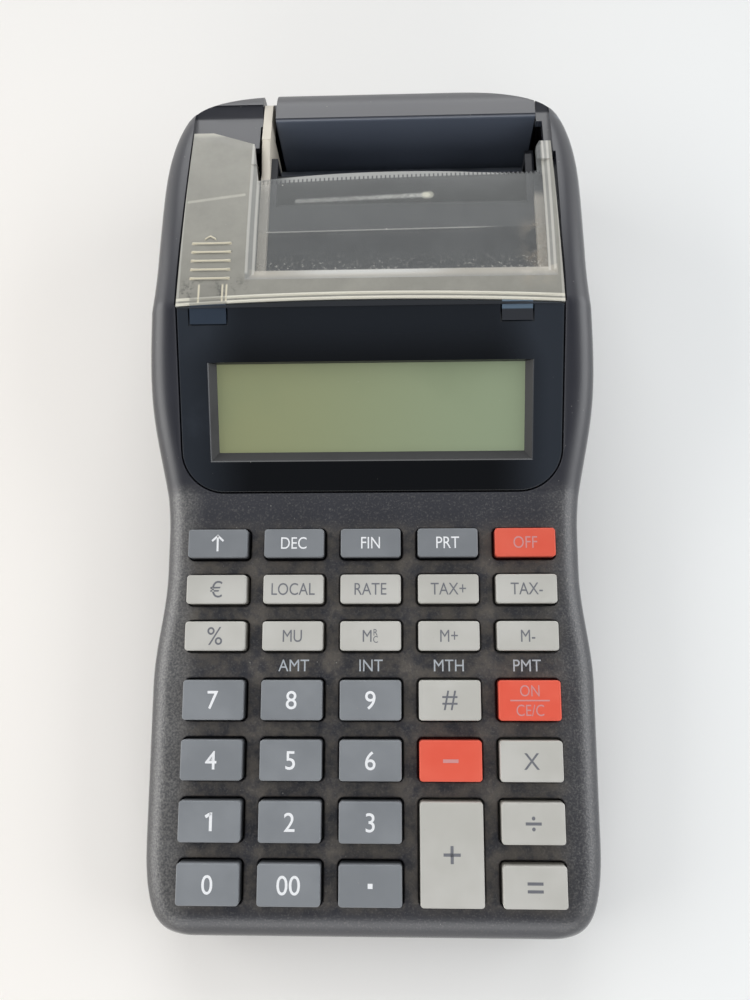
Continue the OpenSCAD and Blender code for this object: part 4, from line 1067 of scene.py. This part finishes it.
def bead(x0, x1, path, width, height, sides=12):
    """A low half-round bar from x0 to x1 on the roof, along y = path(x), its ends tapered to nothing."""
    u = np.linspace(0, 1, 31)
    rise, fall = [np.sin(np.pi * np.clip(end * 8, 0, 0.5)) for end in (u, 1 - u)]
    swell = (rise * fall * 0.98 + 0.02)[:, None]
    across, up = circle(0, 0, 1, sides).T
    x = (x0 + (x1 - x0) * u)[:, None]
    y = path(x) + width / 2 * across * swell
    return weave(x, y, roof(y) + height * up * swell)


def tongue(x, w):
    """The wedge under the fascia, the same outline at both ends of its width."""
    outline = np.array([(31.6, TONGUE_Z), (36.4, TONGUE_Z), (36.4, RIDGE_Z - 0.2), (35.4, RIDGE_Z)])
    return pull(outline, x - w / 2, x + w / 2, axis=0)


cover = slab("printer_cover_clear", -FRAME_T, 0, COVER_PLAN)
carve(cover, solid("window", window_walls()))
carve(cover, slab("panel", -FRAME_T - PANEL_DROP, -PANEL_DROP - 0.004, teeth()), "UNION")
trims = [bead(-39.6, -30.4, lambda x: y + 0.4 * ((x + 35) / 4.6) ** 8, 0.6, 0.4) for y in RIDGES_Y]
trims += [bead(-36.7, -34.1, caret_line, 0.55, 0.3)]
trims += [bead(-41.9, 41.9, lambda x: cover_front(x) + back, 0.55, 0.2) for back in (0.4, 1.55)]
for trim in trims + [tongue(x, w) for x, w in TONGUES]:
    carve(cover, solid("trim", trim), "UNION")
print("cover:", len(cover.data.polygons), "faces")

# %% [markdown]
# ## What years leave on clear plastic
# An old cover is yellow, scratched, dusty and stained. A painted image could hold all that; here the finish
# is a list of marks instead, because marks stay sharp at any size. The light that its edges, beads and ridges
# catch is painted in too, as highlights. Each mark is a mask of place: a straight line, a soft rectangle, or
# a thin line where some value passes a number. The functions that shaped the cover take shader values as well
# as arrays, so its front, teeth and caret are found where they were built.


# %% Cover finish
def segment_mask(f, x, y, a, b, wide, soft):
    """1 near the straight line from a to b: distance to the line's nearest point against its width."""
    (ax, ay), (bx, by) = a, b
    dx, dy = bx - ax, by - ay
    along = f.least(f.most(((x - ax) * dx + (y - ay) * dy) / (dx * dx + dy * dy), 0.0), 1.0)
    away = ((x - ax - along * dx) ** 2 + (y - ay - along * dy) ** 2) ** 0.5
    return f.ramp(away, wide + soft, wide)


def box_mask(f, x, y, low, high, soft):
    """1 inside a rectangle on plan, with soft edges."""
    return (f.ramp(x, low[0] - soft, low[0] + soft) * f.ramp(x, high[0] + soft, high[0] - soft)
            * f.ramp(y, low[1] - soft, low[1] + soft) * f.ramp(y, high[1] + soft, high[1] - soft))


def lines(f, value, *places, wide=0.25, soft=0.2):
    """1 on thin lines where the value passes the given places."""
    found = f.ramp(abs(value - places[0]), wide + soft, wide)
    for place in places[1:]:
        found = f.most(found, f.ramp(abs(value - place), wide + soft, wide))
    return found


def clear_finish():
    """Haze by Alpha: little over the window, more in the frame, most along edges, scratches and walls.
    Every mark is a mask of place, and each pair of a mask and a colour is laid over the last. Some marks are
    painted light: highlights on the window's front wall, on the edges of the walls and frame, on the beads,
    grip ridges, struts and caret, and the tongues as they look in their slots, the left one in painted shade.
    All of it lies on the upper skin, found by its depth under the roof; the underside stays almost clear."""
    f = Finish("clear_yellowed", specular_ior_level=0.6)
    x, y, z = f.place()
    front = y - cover_front(x)
    front_edge = f.ramp(front, 0.05, -0.1)
    cloud, fine, soft = f.noise(9, 4, 0.65), f.noise(0.8, 3, 0.7), f.noise(3.5, 3, 0.6)
    window = box_mask(f, x, y, (-25.2, WALL_Y1), (39.2, 90.0), 0.2)
    inner = box_mask(f, x, y, (-27.3, WALL_Y0), (40.9, 90.0), 0.15)
    walls = inner * (1 - window)
    up = f.most(f.ramp(roof(y) - z - inner * 1.15, 0.85, 0.65), front_edge)
    front_wall = walls * f.ramp(y, 44.4, 44.0) * f.ramp(x, -27, -25.4)
    left = f.ramp(x, -27.0, -27.6) * f.ramp(y, 41, 43)
    edge_highlights = (lines(f, x, -27.1, -25.7, 39.4, 40.5, wide=0.16) * f.ramp(y, 42.6, 43.4)
                  + lines(f, abs(x), 41.9, wide=0.2) * 0.5)
    bead_highlights = lines(f, front, 0.36, 1.5, wide=0.26, soft=0.16)
    notch = box_mask(f, x, y, (-39.2, 30), (-31.0, 40.2), 0.25)
    struts = lines(f, x, -37.3, -32.1, -31.2, wide=0.1) * f.ramp(y, 40.6, 40.0) * f.ramp(front, 0.3, 0.6)
    grip = lines(f, f.math("PINGPONG", y - 40.6, 1.1), 1.1, wide=0.16, soft=0.16)
    grip = grip * box_mask(f, x, y, (-39.5, 41.2), (-30.6, 50.9), 0.15)
    caret = lines(f, y - caret_line(x), 0.0, wide=0.12) * f.ramp(abs(x - CARET_X), 1.4, 1.1)
    grip = f.most(grip, caret)
    scratch = segment_mask(f, x, y, (-16.5, 62.2), (13.1, 63.3), 0.1, 0.85)
    scratch = scratch * (0.45 + f.ramp(x, -16, 12) * 0.3) * (0.15 + fine * 1.5)
    blob = segment_mask(f, x, y, (12.6, 63.25), (13.5, 63.3), 0.5, 0.8) * (0.35 + fine * 0.5)
    teeth_at = y - tear_line(x)
    tear = f.ramp(teeth_at, -0.5, -0.1) * f.ramp(abs(x - 5), 28, 22)
    tooth = lines(f, f.math("PINGPONG", x, 0.5), 0.5, wide=0.12, soft=0.12)
    tooth = tooth * f.ramp(abs(teeth_at), 0.7, 0.3) * window
    seam = segment_mask(f, x, y, (-23.1, 53.9), (30.0, 54.5), 0.06, 0.22) * f.ramp(x, 31, 22) * window
    crack = segment_mask(f, x, y, (-41, 61.6), (-28.5, 63.4), 0.1, 0.45) * (0.2 + soft * 0.5)
    veil = f.ramp(y - x * 0.01, 53.9, 54.3) * window
    glare = f.ramp(abs(x), 22, 8)
    dust = f.least(f.specks(1.6, 0.1, 0.16) + f.specks(3.9, 0.24, 0.22), 1.0)
    foot = f.ramp(y, 50, 44.5) * f.ramp(fine, 0.5, 0.72) * window
    stain = box_mask(f, x, y, (34, 40), (39.2, 56), 2.5) * f.ramp(soft, 0.35, 0.7)
    soot = f.ramp(soft, 0.5, 0.66) * f.ramp(y, 43, 39) * f.ramp(x, -24, -30) * f.ramp(fine, 0.4, 0.6)
    rear_edge = f.ramp(y, 79.9, 81.2) * f.ramp(soft, 0.2, 0.6)
    colour = f.over(
        srgb(148, 147, 138), (cloud, (168, 166, 156)), (window, (146, 149, 148)),
        (stain * 0.6, (150, 134, 112)), (rear_edge * 0.6, (196, 193, 180)), (soot * 0.7, (70, 70, 68)),
        (walls * 0.5, (190, 192, 190)),
        # painted highlights: the front wall's bright band and its glare, the edges of walls and frame, the
        # grip ridges, struts and caret, and the front beads
        (front_wall * f.ramp(y, 41.0, 43.0), (196, 191, 179)),
        (front_wall * f.ramp(y, 42.0, 43.4) * glare, (216, 216, 211)), (edge_highlights * 0.8, (206, 204, 196)),
        (f.most(grip, struts), (216, 209, 186)), (bead_highlights * (1 - notch * 0.75), (222, 219, 204)),
        (f.most(scratch, seam), (206, 206, 200)), (tear, (186, 187, 183)), (tooth, (88, 90, 92)),
        (blob, (212, 210, 190)), (crack, (206, 203, 190)), (f.most(dust, foot) * 0.7, (205, 203, 194)),
        # painted light and shade: the tongues blue-grey as lit in their slots, the left one in painted shade
        (front_edge, (88, 108, 126)), (front_edge * f.ramp(x, 0, -5), (34, 48, 64)),
        (f.ramp(y, 34.0, 33.7) * f.ramp(x, -5, 0), (36, 39, 45)))
    haze = 0.8 - window * 0.53 + (cloud - 0.5) * 0.2 + veil * 0.08 + left * 0.04 + front_edge * 0.2
    marks = (front_wall * (f.ramp(y, 41.2, 43.2) * 0.05 + glare * 0.12) + edge_highlights * 0.2 + bead_highlights * 0.3
             + grip * 0.4 + struts * 0.3 + scratch * 0.55 + blob * 0.6 + tear * 0.4 + tooth * 0.2 + seam * 0.1
             + crack * 0.2 + dust * 0.3 + foot * 0.25 + stain * 0.25 + rear_edge * 0.2 - walls * 0.15
             - notch * 0.06)
    alpha = f.least(f.most(haze + marks, 0.1), 0.97) * up + (1 - up) * 0.08
    rough = 0.4 + f.least(scratch + tear + dust + foot, 1.0) * 0.2 + cloud * 0.06
    return f.set(base_color=colour, roughness=rough, alpha=alpha)


clear_plastic = clear_finish()
dress(cover, clear_plastic, "cover", "clear_cover", "printer_cover", sharp=25)
print("cover finish:", len(clear_plastic.tree.nodes), "nodes")

# %% [markdown]
# ## The mechanism and the small parts
# The printer, its gears, the boards and the fasteners are shaped well enough in the solid model, and
# most of them are only seen through the clear cover or from below. They keep their shapes and get
# finishes that suit what they are made of.


# %% Finishes for the kept nodes
def frame_finish():
    """Cream plastic at the left; the right plate is painted dark behind the tear edge, as painted shade."""
    cream = Finish("cream_with_painted_shade")
    x, y, z = cream.place()
    cloud = cream.noise(14, 3, 0.6)
    colour = cream.over(srgb(210, 202, 186), (cloud, (224, 218, 205)),
                        (cream.specks(1.9, 0.13, 0.3) * 0.3, (120, 112, 98)),
                        # painted shade: the right plate behind the tear edge
                        (cream.ramp(x, 20, 24) * cream.ramp(y, 63, 66), (40, 43, 50)))
    return cream.set(base_color=colour, roughness=0.44 + cloud * 0.12).bump(cream.noise(0.8), 0.02)


def guide_finish():
    """Black plastic, lighter towards the bottom of the paper bay: dust, and painted light that lifts the
    bay's shade.
    """
    black = Finish("guide_black")
    x, y, z = black.place()
    cloud = black.noise(14, 3, 0.6)
    # dust and painted light: the bay's floor is lightened where it lies in shade
    dust = black.ramp(z, 28, 24) * black.ramp(cloud, 0.1, 0.6)
    colour = black.over(srgb(34, 36, 41), (dust, (112, 118, 128)))
    return black.set(base_color=colour, roughness=0.5 + cloud * 0.12).bump(black.noise(0.5), 0.005)


def steel_finish():
    """Plated steel: metallic, with turning marks in the roughness."""
    steel = Finish("plated_steel", metallic=1.0)
    marks = steel.noise(0.6, 3)
    colour = steel.over(srgb(176, 178, 181), (marks, (202, 203, 205)))
    return steel.set(base_color=colour, roughness=0.25 + marks * 0.2)


cream, guide_black, steel = frame_finish(), guide_finish(), steel_finish()
rubber = plain_finish("rubber_dark", (38, 38, 39), (50, 50, 51), 0.75, 0.4, 0.03)
board = plain_finish("board_green", (28, 92, 54), (38, 108, 66), 0.4, 0.9, 0.01)
nylon = plain_finish("gear_nylon", (226, 222, 208), (234, 231, 220), 0.45, 0.6, 0.01)
foam = plain_finish("ink_foam", (40, 30, 66), (58, 44, 88), 0.9, 0.5, 0.12)
type_metal = plain_finish("type_grey", (96, 98, 102), (116, 118, 122), 0.4, 0.5, 0.02)
KEPT = [(case_dark, "battery_door"), (board, "display_board circuit_board"), (cream, "printer_frame"),
        (rubber, "lcd_connector key_mat feed_roller pressure_roller rubber_feet"), (foam, "ink_roller"),
        (guide_black, "paper_guide"), (type_metal, "type_drum"),
        (steel, "hammer_bar drive_motor battery_contacts case_screws"),
        (nylon, "motor_pinion idler_gear drum_gear feed_gear")]
for finish, names in KEPT:
    repaint(finish, *names.split())
print(sum(len(names.split()) for finish, names in KEPT), "nodes keep their shape")

# %% [markdown]
# ## The plate that shows
# One edge of the mechanism stands in the open paper bay, where the light falls on it: the top of the left
# plate. Rounding the solid itself would mean building the whole frame again, so a rounded rail, one more
# stack of rings, is laid over this edge alone.


# %% Frame rail
def frame_rail(x=-24.5, wide=1.98, steps=40):
    """The rounded top of the left plate: it climbs on half a cosine wave from under the cover's panel to
    the open bay behind it."""
    y = np.linspace(66.0, 82.0, steps)
    high = roof(y) - ease(3.35, 0.82, (y - 68.5) / 11.5)
    t = np.linspace(0, np.pi, 9)
    ring_x = np.concatenate([x + wide / 2 * np.cos(t), [x - wide / 2, x + wide / 2]])
    rise = np.concatenate([0.5 * np.sin(t) - 0.5, [-3.0, -3.0]])
    return weave(ring_x, y[:, None], high[:, None] + rise)


rail = dress(solid("printer_frame_rail", frame_rail()), cream, "case", "cream_plastic")
print("rail:", len(rail.data.polygons), "faces")

# %% [markdown]
# ## Measure
# The dressed model has to stay the size of the solid one.

# %% Finish
low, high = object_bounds()
print("dressed model, mm:", [round((b - a) / MM, 1) for a, b in zip(low, high)])
